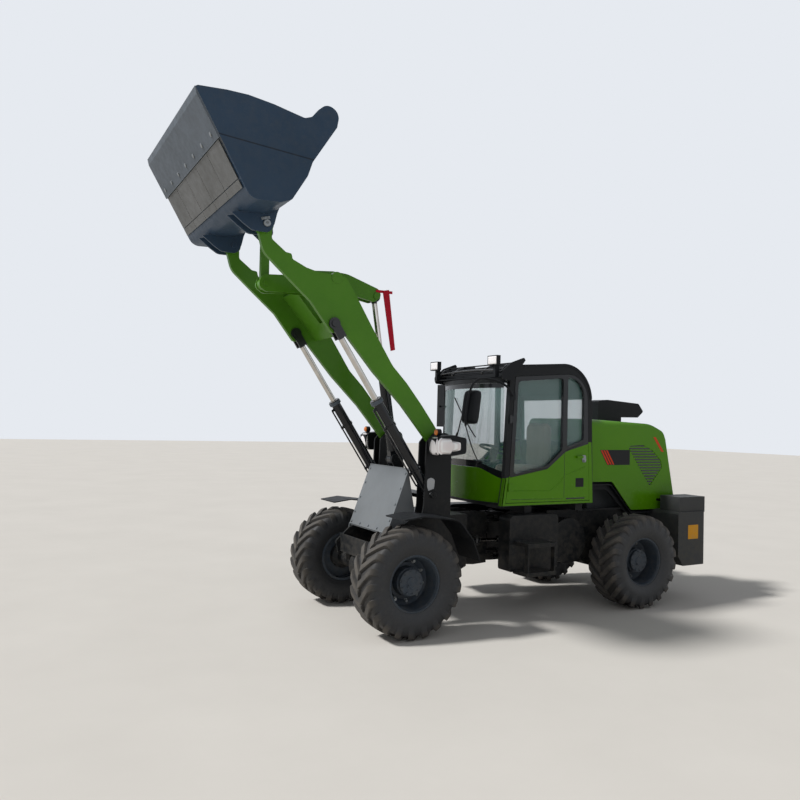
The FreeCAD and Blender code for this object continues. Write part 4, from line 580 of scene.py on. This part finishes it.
def wheel_fittings(where, x, side):
    """Hub cover with its ring of cap screws and plug, and the wheel nuts on the disc."""
    out = np.array([0, side, 0])
    centre = np.array([x, side * WHEEL_Y, WHEEL_Z])
    face = centre + out * 0.090
    turn = np.linspace(0, 2 * math.pi, 10, endpoint=False) + 0.2
    circle = np.stack((np.cos(turn), 0 * turn, np.sin(turn)), -1)
    cover = fixed(turning([(-0.004, 0.128), (0.003, 0.128), (0.006, 0.124), (0.006, 0.055), (0.012, 0.05),
                           (0.012, 0.02)], face, out, 48))
    screws = bolts(face + out * 0.005 + circle * 0.108, out, 0.019, 0.010)
    plug = bolts([face + out * 0.011 + np.array([0.03, 0, -0.03])], out, 0.024, 0.01)
    piece(f"hub_cover_{where}", *joined([cover, screws, plug]), rim_enamel, f"wheel_{where}")
    disc = centre - out * 0.055
    nuts = bolts(disc + circle * 0.205, out, 0.030, 0.022)
    piece(f"wheel_nuts_{where}", *nuts, zinc, f"wheel_{where}")


AXLES = {"front": HINGE + 1.53, "rear": HINGE - 1.53}
for which, axle_x in AXLES.items():
    for hand_name, hand_sign in (("left", 1), ("right", -1)):
        tyre(f"{which}_{hand_name}", axle_x, hand_sign)
        wheel_fittings(f"{which}_{hand_name}", axle_x, hand_sign)

# bucket


def on_floor(back, out, y):
    """A point on the bucket floor: metres back from the edge's tip, out from its underside, and across."""
    return TIP - back * FLOOR + out * OUT + np.array([0, y, 0])


def floor_plate(back0, back1, y0, y1, thick):
    """A plate lying on the floor's outside, its rim drawn in so that the edge shows as a weld."""
    corner = [(back0, y0), (back1, y0), (back1, y1), (back0, y1)]
    rim = [on_floor(b, -0.006, y) for b, y in corner]
    top = [on_floor(b + (0.006 if b == back0 else -0.006), thick, y + (0.006 if y == y0 else -0.006))
           for b, y in corner]
    return skin(np.array([rim, top]))


seams = np.linspace(-0.985, 0.985, 6)
under = [floor_plate(near, far, a + 0.003, b - 0.003, -0.0155)
         for near, far in ((0.446, 0.792), (0.800, 0.875)) for a, b in zip(seams[:-1], seams[1:])]
piece("bucket_floor_plates", *joined(under), plate_steel, "bucket", slot="worn_steel")
edge_heads = fixed(turning([(-0.004, 0.021), (0.004, 0.021), (0.006, 0.017)], np.zeros(3), OUT, 16))
row = np.linspace(-0.90, 0.90, 7)
heads = joined([(edge_heads[0] + on_floor(0.372, 0.001, y), edge_heads[1]) for y in row])
piece("cutting_edge_bolts", *heads, zinc, "bucket")

# boom and linkage


def pin_end(centre, way, r):
    """The end of a linkage pin: a turned cap with a grease nipple."""
    cap = [(-0.004, r), (0.010, r), (0.014, r - 0.004), (0.014, 0.012), (0.010, 0.010)]
    nipple = [(0.008, 0.006), (0.020, 0.006), (0.022, 0.0035), (0.028, 0.0045), (0.030, 0.002)]
    return joined([fixed(turning(cap, centre, way, 28)), fixed(turning(nipple, centre, way, 10))])


def keeper(centre, way, along, reach):
    """A flat bar beside a pin with two bolts into the boss."""
    way, along = unit(np.asarray(way, float)), unit(np.asarray(along, float))
    wide = np.cross(way, along)
    corners = [(-0.5, -1), (0.5, -1), (0.5, 1), (-0.5, 1)]
    middle = centre + along * reach
    base = np.array([middle + along * 0.014 * v * 0.9 + wide * u * 0.085 for u, v in corners])
    bar = skin(np.array([base - way * 0.002, base + way * 0.007]))
    heads = bolts([middle + wide * s * 0.028 + way * 0.006 for s in (-1, 1)], way, 0.016, 0.008)
    return joined([bar, heads])


ARM_Y = 0.51
PINS = [
    # body, hinge-frame x, z, y of the face that shows, cap radius
    ("front_frame", 1.020, 1.870, 0.600, 0.040), ("front_frame", 1.120, 1.340, 0.598, 0.034),
    ("bucket", 2.985, 3.875, 0.604, 0.034),
]
for k, (body, px, pz, py, pr) in enumerate(PINS):
    plate = keeper(at(px, py - 0.008, pz), (0, 1, 0), (0.3, 0, 1), pr + 0.013)
    shown = joined([pin_end(at(px, py, pz), (0, 1, 0), pr), plate])
    piece(f"pin_ends_{k}", *both_sides(shown), zinc if body == "bucket" else black_enamel, body)


def along_lift(t, out, y):
    """A point t metres up the lift cylinder from its base pin, out from its axis on the upper side if > 0."""
    side = np.array([-lift_way[2], 0, lift_way[0]])
    return LIFT_BASE + lift_way * t + side * out + np.array([0, y, 0])


HANDS = (("left", 1), ("right", -1))
PIPE_ROUTE = [
    # metres up the cylinder, metres below its axis
    (0.14, 0.060), (0.16, 0.074), (0.22, 0.078), (0.65, 0.078), (1.02, 0.078), (1.075, 0.076), (1.085, 0.060),
]
CLAMPS = (0.3, 0.85)
for hand_name, hand in HANDS:
    y = hand * ARM_Y
    line = pipe([along_lift(t, -out, y) for t, out in PIPE_ROUTE], 0.009)
    clamp = [band(along_lift(t, 0, y), lift_way, 0.053, 0.060, 0.014) for t in CLAMPS]
    saddle = [band(along_lift(t, -0.076, y), lift_way, 0.008, 0.014, 0.014) for t in CLAMPS]
    piece(f"lift_pipe_{hand_name}", *joined([line] + clamp + saddle), cylinder_enamel,
          f"lift_barrel_{hand_name}")
    gland = band(along_lift(1.137, 0, y), lift_way, 0.036, 0.0665, 0.018)
    piece(f"lift_gland_{hand_name}", *gland, steel, f"lift_barrel_{hand_name}")


# cab trim

SCREEN_CENTRE, SCREEN_R = 0.25 + 0.12 - 1.5, 1.492  # the windscreen's bow in plan


def on_screen(y, z, out=0.0):
    """A point on the windscreen's outer face, or out from it."""
    r = SCREEN_R + out
    return np.stack((HINGE + SCREEN_CENTRE + np.sqrt(r**2 - y**2), y, z), -1)


def screen_strip(y, low, high, out=0.0015, thick=0.0015):
    """A band on the glass between two heights, given for each y."""
    back = out - thick
    return skin(np.stack([on_screen(y, z, d) for z, d in ((low, out), (high, out), (high, back), (low, back))], 1))


across_y = np.linspace(-0.588, 0.588, 33)
sill = np.interp(np.abs(across_y), [0.22, 0.588], [1.602, 1.497])
head = np.full_like(across_y, 2.538)
bands = joined([screen_strip(across_y, sill, sill + 0.075), screen_strip(across_y, head - 0.05, head)])
piece("windscreen_black_bands", *bands, sash, "rear_frame")


def wiper(y0, z0, y1, z1, blade):
    """An arm from a spindle to the blade's middle, and the blade with its spine and rubber."""
    t = np.linspace(0, 1, 7)
    lift = 0.010 + 0.022 * np.sin(np.pi * np.minimum(t * 1.15, 1)) * (1 - t) + 0.012
    arm = pipe(on_screen(y0 + (y1 - y0) * t, z0 + (z1 - z0) * t, lift), 0.007, 8, 4)
    lean = math.atan2(z1 - z0, y1 - y0) + 0.25
    s = np.linspace(-blade / 2, blade / 2, 9)
    yy, zz = y1 + np.cos(lean) * s, z1 + np.sin(lean) * s
    spine = pipe(on_screen(yy, zz, 0.013), 0.006, 8, 3)
    rubber_edge = pipe(on_screen(yy, zz, 0.005), 0.003, 6, 3)
    foot = on_screen(np.array(y0), np.array(z0))
    spindle = fixed(turning([(-0.02, 0.018), (0.03, 0.018), (0.036, 0.012)], foot, (1, 0, 0), 18))
    return joined([arm, spine, rubber_edge, spindle])


wipers = joined([wiper(0.30, 1.66, 0.02, 2.16, 0.62), wiper(-0.34, 1.66, -0.10, 1.98, 0.5)])
piece("screen_wipers", *wipers, sash, "rear_frame")

STRIPS = [
    # green cover strips over the cab's frame: outline x, z
    ("post", [(0.291, 1.204), (0.2475, 1.503), (0.198, 1.512), (0.242, 1.204)]),
    ("sill", [(0.240, 1.204), (0.240, 1.2305), (-0.970, 1.2305), (-0.970, 1.204)]),
    ("corner", [(-0.973, 1.204), (-0.9475, 1.905), (-0.994, 1.905), (-1.027, 1.204)]),
]
for label, outline in STRIPS:
    piece(f"cab_{label}_cover", *both_sides(slab(outline, "XZ", 0.6495, 0.6535)), body_green, "rear_frame",
          bevel=0.0015, slot="body_green")

post_front = [(0.2945, 1.204), (0.2510, 1.503), (0.2300, 1.503), (0.2730, 1.204)]
piece("cab_post_front_cover", *both_sides(slab(post_front, "XZ", 0.604, 0.6535)), body_green, "rear_frame",
      bevel=0.0015)


def raised_seam(path, y, width, height):
    """A pressed line on a side panel: a low ridge along a path of x, z, flat on top with sloping sides."""
    line = np.asarray(path, float)
    ahead = np.gradient(line, axis=0)
    ahead /= np.linalg.norm(ahead, axis=1)[:, None]
    side = np.stack((-ahead[:, 1], ahead[:, 0]), -1)
    steps = np.array([(-1, -0.002), (-0.45, height), (0.45, height), (1, -0.002)])
    flat = line[:, None] + side[:, None] * steps[None, :, :1] * width / 2
    out = y + np.broadcast_to(steps[:, 1], flat.shape[:2])
    return skin(np.stack((flat[..., 0] + HINGE, out, flat[..., 1]), -1))


def bent_line(points, radius, steps=6):
    """An open line with rounded corners."""
    p = np.asarray(points, float)
    inner = rounded(p, radius, steps).reshape(len(p), steps, 2)[1:-1].reshape(-1, 2)
    return np.vstack((p[:1], inner, p[-1:]))


DOOR_FACE = 0.652
crease = bent_line([(0.14, 1.366), (-0.39, 1.354), (-0.515, 1.441), (-0.60, 1.525), (-0.90, 1.622)], 0.06)
gap_line = [(-0.590, 1.795), (-0.590, 1.262)]
low_line = [(0.16, 1.272), (-0.565, 1.262)]
slot_line = [(-0.62, 1.262), (-0.90, 1.262)]
belt_line = bent_line([(0.176, 1.518), (-0.337, 1.606), (-0.596, 1.796), (-0.905, 1.903)], 0.08)
# gap, low and slot lines are black ridges painted in as the shade inside the door's panel gaps; the belt line is the
# black strip along the window frame's lower edge
GAP_SHADE_AND_SEAL_LINES = [
    # path, width, height
    (gap_line, 0.007, 0.0012), (low_line, 0.006, 0.0012), (slot_line, 0.022, 0.0015), (belt_line, 0.020, 0.006),
]
folds = raised_seam(crease, DOOR_FACE, 0.012, 0.004)
dark = joined([raised_seam(path, DOOR_FACE, width, height) for path, width, height in GAP_SHADE_AND_SEAL_LINES])
for side_name, hand, carrier in (("left", 1, "left_door"), ("right", -1, "rear_frame")):
    piece(f"{side_name}_panel_creases", *mirrored(folds, hand), body_green, carrier)
    # black ridges: painted shade in the panel gaps, and the real black belt strip
    piece(f"{side_name}_panel_gap_shade_and_seal", *mirrored(dark, hand), sash, carrier)

handle = rounded([(-0.915, 1.672), (-0.855, 1.672), (-0.850, 1.752), (-0.905, 1.758)], 0.02)
barrel = turning([(0.0, 0.012), (0.018, 0.012), (0.021, 0.009)], at(-0.880, 0.655, 1.69), (0, 1, 0), 18)
lock = joined([slab(handle, "XZ", 0.651, 0.660), fixed(barrel)])
piece("door_lock", *lock, zinc, "left_door", bevel=0.002)
blank = slab(rounded(oblong(-0.882, -0.760, 1.390, 1.493), 0.008), "XZ", 0.6515, 0.6535)
piece("door_blank_plate", *blank, black_enamel, "left_door", bevel=0.0008)


def guard_tubes(hand):
    """Bent tubes over the visor's ends: a loop that rises from the roof's edge and falls to the visor's tip."""
    y0, y1 = 0.62, 0.30
    loop = [(0.30, y0, 2.66), (0.22, y0, 2.735), (0.02, y0, 2.765), (-0.02, (y0 + y1) / 2, 2.772),
            (0.02, y1, 2.765), (0.22, y1, 2.735), (0.34, y1, 2.655)]
    return pipe([at(x, y * hand, z) for x, y, z in loop], 0.011, 10, 8)


rail = pipe([at(0.345, y, 2.672 + 0.02 * (1 - (y / 0.6) ** 2)) for y in np.linspace(-0.6, 0.6, 9)],
            0.010, 10, 4)
piece("visor_guard_tubes", *joined([guard_tubes(1), guard_tubes(-1), rail]), sash, "rear_frame")

# lamps


def lens_plate(name, x, y, z, wide, tall, bulge=0.006):
    """A roof lamp's glass: a rounded panel whose middle stands proud of its rim."""
    u = np.linspace(-1, 1, 13)
    yy, zz = np.meshgrid(u, u, indexing="ij")
    square = np.sqrt(np.maximum(0, 1 - np.maximum(abs(yy), abs(zz)) ** 6))
    front = np.stack((HINGE + (x + bulge * square), y + wide / 2 * yy, z + tall / 2 * zz), -1)
    back = front[:, ::-1] * [0, 1, 1] + [HINGE + x - 0.01, 0, 0]
    piece(name, *skin(np.concatenate((front, back), 1)), lens, "rear_frame", crisp=50)


HEADLIGHT_PLAN = [(1.249, 0.700), (1.272, 0.780), (1.262, 0.850), (1.205, 0.886), (1.090, 0.892), (0.975, 0.868)]


def wrapped_glass(name, hand):
    """The headlight's moulded glass: an outline in plan that runs across the front and back along the outer
    side, carried up with a bulge that falls off as (1 - w^4) towards its upper and lower rims."""
    plan = bent_line(HEADLIGHT_PLAN, 0.06, 9)
    rise = np.linspace(-1, 1, 13)
    run = np.linspace(0, 1, len(plan))
    tall = 0.088 * (1 - 0.42 * np.clip((run - 0.45) / 0.55, 0, 1) ** 2)
    ahead = np.gradient(plan, axis=0)
    normal = np.stack((-ahead[:, 1], ahead[:, 0]), -1)
    normal /= np.linalg.norm(normal, axis=1)[:, None]
    flat = plan[:, None] + normal[:, None] * (0.026 * rise[None, :] ** 4)[..., None]
    outer = np.stack((HINGE + flat[..., 0], flat[..., 1], 1.852 + tall[:, None] * rise), -1)
    inner = outer[:, ::-1] + 0.030 * np.append(normal, np.zeros((len(plan), 1)), 1)[:, None]
    glass_shape = skin(np.concatenate((outer, inner), 1) * [1, hand, 1])
    piece(name, *glass_shape, lens, "front_frame", crisp=50)


TURN_LAMP = [(0.0, 0.030), (0.010, 0.029), (0.018, 0.02), (0.021, 0.008)]
TAIL_LAMPS = ((1.09, 1.145, red_lens), (1.15, 1.185, amber), (1.19, 1.235, red_lens))
for hand_name, hand in HANDS:
    wrapped_glass(f"headlight_glass_{hand_name}", hand)
    lens_plate(f"roof_lamp_glass_{hand_name}", 0.411, hand * 0.595, 2.7775, 0.150, 0.085)
    turn_glass = fixed(turning(TURN_LAMP, at(1.221, hand * 0.790, 1.990), (1, 0, 0), 24))
    piece(f"turn_lamp_glass_{hand_name}", *turn_glass, amber, "front_frame")
    for k, (z0, z1, kind) in enumerate(TAIL_LAMPS):
        outline = rounded(oblong(hand * 0.73 - 0.10, hand * 0.73 + 0.10, z0, z1), 0.008)
        tail = slab(outline, "YZ", -2.684, -2.676)
        piece(f"tail_lamp_{hand_name}_{k}", *tail, kind, "rear_frame", bevel=0.002)

# hood and tail

HOOD_Y = 0.5
GRILLE = [(-2.095, 1.395), (-1.730, 1.860), (-2.000, 1.875), (-2.165, 1.815), (-2.325, 1.680),
          (-2.345, 1.590), (-2.130, 1.360)]


def slats(outline, low, high, step, margin):
    """Louvres across an outline of x, z: at each height the widest run inside it, a blade tipped outward."""
    p = np.asarray(outline, float)
    q = np.roll(p, -1, 0)
    blades = []
    for z in np.arange(low, high, step):
        t = (z - p[:, 1]) / (q[:, 1] - p[:, 1] + 1e-9)
        hit = (t >= 0) & (t <= 1)
        x = np.sort((p[:, 0] + t * (q[:, 0] - p[:, 0]))[hit])
        if len(x) < 2 or x[-1] - x[0] < 3 * margin:
            continue
        a, b = x[0] + margin, x[-1] - margin
        y, tall = HOOD_Y - 0.006, step * 0.62
        blade = [(0, 0), (0.0052, -tall * 0.3), (0.0060, -tall * 0.15), (0.0012, tall * 0.5)]
        blades.append(skin(np.array([[(HINGE + x_end, y + out, z + up) for out, up in blade] for x_end in (a, b)])))
    return joined(blades)


piece("hood_side_slats", *both_sides(slats(GRILLE, 1.385, 1.87, 0.034, 0.012)), sash, "rear_frame")
CHEVRONS = [
    [(-1.292 - s, 1.806), (-1.318 - s, 1.806), (-1.432 - s, 1.634), (-1.406 - s, 1.634)] for s in (0.0, 0.042, 0.084)
]
STRIPE = rounded([(-1.280, 1.810), (-1.776, 1.812), (-1.776, 1.628), (-1.400, 1.628)], 0.004)
FLASH = [(-2.180, 1.975), (-2.225, 1.975), (-2.375, 1.790), (-2.330, 1.790)]
# a black film painted in as the shade inside a low slot in the hood side
LOW_SLOT_SHADE = rounded(oblong(-2.550, -2.250, 1.170, 1.203), 0.014)
BLANK = rounded(oblong(-2.540, -2.360, 0.745, 0.915), 0.008)
TRIM = [
    # name, outlines, inner y, outer y, finish, bevel
    ("hood_stripe", [STRIPE], 0.4995, 0.5012, black_enamel, 0.0),
    ("hood_chevrons", CHEVRONS, 0.5010, 0.5022, orange_film, 0.0),
    ("hood_red_flash", [FLASH], 0.4995, 0.5010, orange_film, 0.0),
    # painted shade: a flat black sheet where the hood's low slot is
    ("hood_low_slot_shade", [LOW_SLOT_SHADE], 0.4990, 0.5008, sash, 0.0),
    ("counterweight_blank_plates", [BLANK], 0.8995, 0.9018, yellow_plate, 0.0008),
]
for name, outlines, inner_y, outer_y, finish, bevel in TRIM:
    flat_trim = joined([slab(outline, "XZ", inner_y, outer_y) for outline in outlines])
    piece(name, *both_sides(flat_trim), finish, "rear_frame", bevel=bevel)

# front frame trim

OVAL = [(1.195, 1.500), (1.150, 1.520), (1.100, 1.500), (1.108, 1.420), (1.131, 1.345), (1.160, 1.345),
        (1.192, 1.425)]
oval = slab(rounded(OVAL, 0.03), "XZ", 0.5898, 0.5915)
piece("tower_blank_oval", *both_sides(oval), pale_film, "front_frame")


def on_cover(t, y):
    """A point on the sloping cover: t from its top edge to its foot."""
    return at(1.329 + t * (1.568 - 1.329), y, 1.590 + t * (0.942 - 1.590))


slope = np.array([0.648, 0, 0.239])
FOOT = [(1.560, 0.960), (1.575, 0.935), (1.589, 0.839), (1.582, 0.606), (1.493, 0.657), (1.421, 0.742),
        (1.400, 0.960)]
flanges = both_sides(slab(rounded(FOOT, 0.02), "XZ", 0.432, 0.444))
piece("cover_foot_flanges", *flanges, grey_enamel, "front_frame", bevel=0.002)
bolt_places = [on_cover(t, s * 0.405) for s in (-1, 1) for t in (0.06, 0.3, 0.55, 0.8, 0.96)]
bolt_places += [on_cover(0.96, y) for y in (-0.2, 0.0, 0.2)]
piece("cover_bolts", *bolts(bolt_places, slope, 0.02, 0.01), zinc, "front_frame")

# mirrors

turned = Matrix.Rotation(math.radians(17), 3, "Z") @ Matrix.Rotation(math.radians(-9), 3, "Y")
LEFT_TURN = np.array(turned)
LEFT_CORNER, LEFT_SIZE = at(0.735, 0.548, 2.080), (0.200, 0.360)


def mirror_glass(name, corner, turned, wide, tall):
    """Glass on the rear face of a mirror's shell: slightly convex, inset 10 mm."""
    u, v = np.meshgrid(np.linspace(0, 1, 12), np.linspace(0, 1, 16), indexing="ij")
    crown = 0.004 * (1 - (2 * u - 1) ** 2) * (1 - (2 * v - 1) ** 2)
    front = np.stack((-0.001 - crown, 0.01 + (wide - 0.02) * u, 0.01 + (tall - 0.02) * v), -1)
    back = front[:, ::-1] * [0, 1, 1] + [0.002, 0, 0]
    loop = np.concatenate((front, back), 1) @ turned.T + corner
    piece(name, *skin(loop), silvered, "rear_frame", crisp=60)


def power(a, e):
    """The size of a to the power e, with the sign of a."""
    return np.sign(a) * np.abs(a) ** e


def mirror_shell(corner, turned, depth, wide, tall):
    """A moulded shell round a mirror: the superellipsoid whose x is sin u to the power 0.75, y and z are the
    cosine of u times the cosine and the sine of v, each to the power 0.34, with its rear cut flat."""
    u, v = np.meshgrid(np.linspace(-np.pi / 2, np.pi / 2, 25), np.linspace(-np.pi, np.pi, 49)[:-1],
                       indexing="ij")
    x = np.maximum(power(np.sin(u), 0.75), -0.30)
    waist = power(np.cos(u), 0.34)
    y, z = waist * power(np.cos(v), 0.34), waist * power(np.sin(v), 0.34)
    grid = np.stack((depth * (0.25 + 0.75 * x), wide / 2 * (1 + y), tall / 2 * (1 + z)), -1).reshape(-1, 3)
    return fixed((grid @ turned.T + corner, sheet_faces(25, 48, round_n=True)))


ARM = [
    (0.170, 0.662, 2.400), (0.260, 0.662, 2.500), (0.420, 0.662, 2.560), (0.600, 0.662, 2.566),
    (0.700, 0.662, 2.500), (0.745, 0.660, 2.380), (0.770, 0.655, 2.200), (0.776, 0.652, 2.060),
]
arm = pipe([at(*place) for place in ARM], 0.013, 12, 8)
shell = mirror_shell(LEFT_CORNER, LEFT_TURN, 0.075, *LEFT_SIZE)
foot_plate = slab(rounded(oblong(0.130, 0.200, 2.350, 2.440), 0.012), "XZ", 0.650, 0.658)
made = piece("mirror_shell_left", *joined([shell, arm, foot_plate]), plastic, "rear_frame", crisp=45)
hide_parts("mirror_left")
mirror_glass("mirror_glass_left", LEFT_CORNER, LEFT_TURN, *LEFT_SIZE)
mirror_glass("mirror_glass_right", at(0.110, -0.920, 2.040), np.eye(3), 0.170, 0.530)

# seat


def coordinates(mesh):
    co = np.empty(len(mesh.vertices) * 3)
    mesh.vertices.foreach_get("co", co)
    return co.reshape(-1, 3)


def unit_rows(v):
    return v / np.maximum(np.linalg.norm(v, axis=1), 1e-9)[:, None]


def settle(made):
    """Applies a piece's modifiers and keeps the result as its mesh."""
    graph = bpy.context.evaluated_depsgraph_get()
    mesh = bpy.data.meshes.new_from_object(made.evaluated_get(graph))
    made.modifiers.clear()
    made.data = mesh


def padded_shell(name, middle, half):
    """A block with rounded edges: a cube's grid drawn onto the superellipsoid of power 6, then remeshed."""
    power, n = 6.0, 24
    a, b = np.meshgrid(np.linspace(-1, 1, n), np.linspace(-1, 1, n), indexing="ij")
    sides = []
    for axis in range(3):
        for sign in (-1, 1):
            p = np.zeros((n, n, 3))
            p[..., axis] = sign
            p[..., (axis + 1) % 3], p[..., (axis + 2) % 3] = a, b * sign
            sides.append((p.reshape(-1, 3), sheet_faces(n, n)))
    points, faces = joined(sides)
    points = points / (np.abs(points) ** power).sum(1)[:, None] ** (1 / power)
    mesh = bpy.data.meshes.new(name)
    mesh.from_pydata((middle + points * half).tolist(), [], faces)
    made = bpy.data.objects.new(name, mesh)
    bpy.context.scene.collection.objects.link(made)
    remesh = made.modifiers.new("remesh", "REMESH")
    remesh.mode, remesh.voxel_size = "VOXEL", 0.008
    settle(made)
    return made


def swell(made):
    """Pressure from inside for 20 frames; a point stops 24 mm from its start."""
    frames, most = 20, 0.024
    before = coordinates(made.data)
    cover = made.modifiers.new("swell", "CLOTH")
    cover.settings.use_pressure = True
    cover.settings.uniform_pressure_force = 4.0
    cover.settings.effector_weights.gravity = 0.0
    cover.settings.quality = 4
    for f in range(1, frames + 1):
        bpy.context.scene.frame_set(f)
    settle(made)
    move = coordinates(made.data) - before
    far = np.linalg.norm(move, axis=1)[:, None]
    after = before + move * np.minimum(1, most / np.maximum(far, 1e-9))
    made.data.vertices.foreach_set("co", after.ravel())
    bpy.context.scene.frame_set(1)


def padded_block(name, node, face_axis, inset=0.014):
    """A cushion: a rounded block a little under its solid's size, swelled, then given two sewn channels that
    run across it, a welt round its rim and one subdivision."""
    low, high = (np.array(v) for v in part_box(node))
    middle, half = (low + high) / 2, (high - low) / 2 - inset
    made = padded_shell(name, middle, half)
    swell(made)
    co = coordinates(made.data)
    rel = (co - middle) / (half + inset)
    deep = np.zeros(len(co))
    for line in (-0.5, 0.5):
        deep += 0.010 * np.exp(-(((rel[:, 1] - line) * half[1]) / 0.007) ** 2)
    ring = 0.006 * np.exp(-((np.abs(rel[:, face_axis]) - 0.45) * half[face_axis] / 0.006) ** 2)
    co -= unit_rows(co - middle) * (deep + ring)[:, None]
    limit = (high - low) / 2 - 0.001
    co = middle + np.clip(co - middle, -limit, limit)
    made.data.vertices.foreach_set("co", co.ravel())
    made.data.materials.clear()
    made.data.materials.append(cloth)
    made.data.shade_smooth()
    rounding = made.modifiers.new("smooth", "SUBSURF")
    rounding.levels = rounding.render_levels = 1
    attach(made, "rear_frame")
    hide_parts(node)


padded_block("seat_cushion_cover", "seat_cushion", 2)
padded_block("seat_back_cover", "seat_back", 0)

# floor, light, camera


def camera():
    """The picture's camera: 33.33 mm lens on a 36 mm sensor, standing 5.2 m ahead and 7.1 m to the left."""
    az, el, roll = (math.radians(v) for v in (150.856, -1.766, 1.438))
    back = Vector((math.sin(az) * math.cos(el), -math.cos(az) * math.cos(el), math.sin(el)))
    ahead = -back
    right = ahead.cross(Vector((0, 0, 1))).normalized()
    up = right.cross(ahead)
    r2 = math.cos(roll) * right + math.sin(roll) * up
    u2 = -math.sin(roll) * right + math.cos(roll) * up
    data = bpy.data.cameras.new("camera")
    data.lens, data.sensor_width, data.clip_end = 33.33, 36.0, 200
    eye = bpy.data.objects.new("camera", data)
    bpy.context.scene.collection.objects.link(eye)
    turn = Matrix((r2, u2, back)).transposed().to_4x4()
    eye.matrix_world = Matrix.Translation(Vector(at(5.166, 7.100, 2.075))) @ turn
    bpy.context.scene.camera = eye


camera()


def ground():
    """Plain pale concrete under the machine, with a slow drift of tone."""
    mesh = bpy.data.meshes.new("floor")
    corners = [(-60, -60, 0), (60, -60, 0), (60, 60, 0), (-60, 60, 0)]
    mesh.from_pydata(corners, [], [(0, 1, 2, 3)])
    floor = bpy.data.objects.new("floor", mesh)
    bpy.context.scene.collection.objects.link(floor)
    finish, tree, surface = start("pale_floor", Roughness=0.85)
    drift = blend_colour(tree, noise(tree, 0.7, 8), "#c9c4bc", "#d6d1c9")
    tree.links.new(drift, surface.inputs["Base Color"])
    mesh.materials.append(finish)


ground()


def light(name, kind, energy, place, aim, **settings):
    """One lamp at a place in metres, turned to a point."""
    data = bpy.data.lights.new(name, kind)
    data.energy = energy
    for key, value in settings.items():
        setattr(data, key, value)
    lamp = bpy.data.objects.new(name, data)
    bpy.context.scene.collection.objects.link(lamp)
    lamp.location = place
    lamp.rotation_mode = "QUATERNION"
    lamp.rotation_quaternion = (Vector(aim) - Vector(place)).to_track_quat("-Z", "Y")


light("sun", "SUN", 3.3, (7, -2.0, 9), (0, 0, 1), angle=math.radians(7))
light("fill", "AREA", 60, (4, 9, 5), (0, 0, 2), size=7)

world = bpy.data.worlds.new("studio")
bpy.context.scene.world = world
world.use_nodes = True
sky = world.node_tree
sky.nodes.clear()
rays = add(sky, "LightPath")
seen = add(sky, "Math", {0: rays.outputs["Is Camera Ray"], 1: rays.outputs["Is Transmission Ray"]},
           operation="MAXIMUM").outputs[0]
seen = add(sky, "Math", {0: seen, 1: rays.outputs["Is Glossy Ray"]}, operation="MAXIMUM").outputs[0]
soft = add(sky, "Background", {"Color": linear("#e4e9f1"), "Strength": 0.32}).outputs[0]
pale = add(sky, "Background", {"Color": linear("#e6eaf0"), "Strength": 1.0}).outputs[0]
both = add(sky, "MixShader", {0: seen, 1: soft, 2: pale}).outputs[0]
add(sky, "OutputWorld", {0: both})
bpy.context.scene.view_settings.view_transform = "Standard"
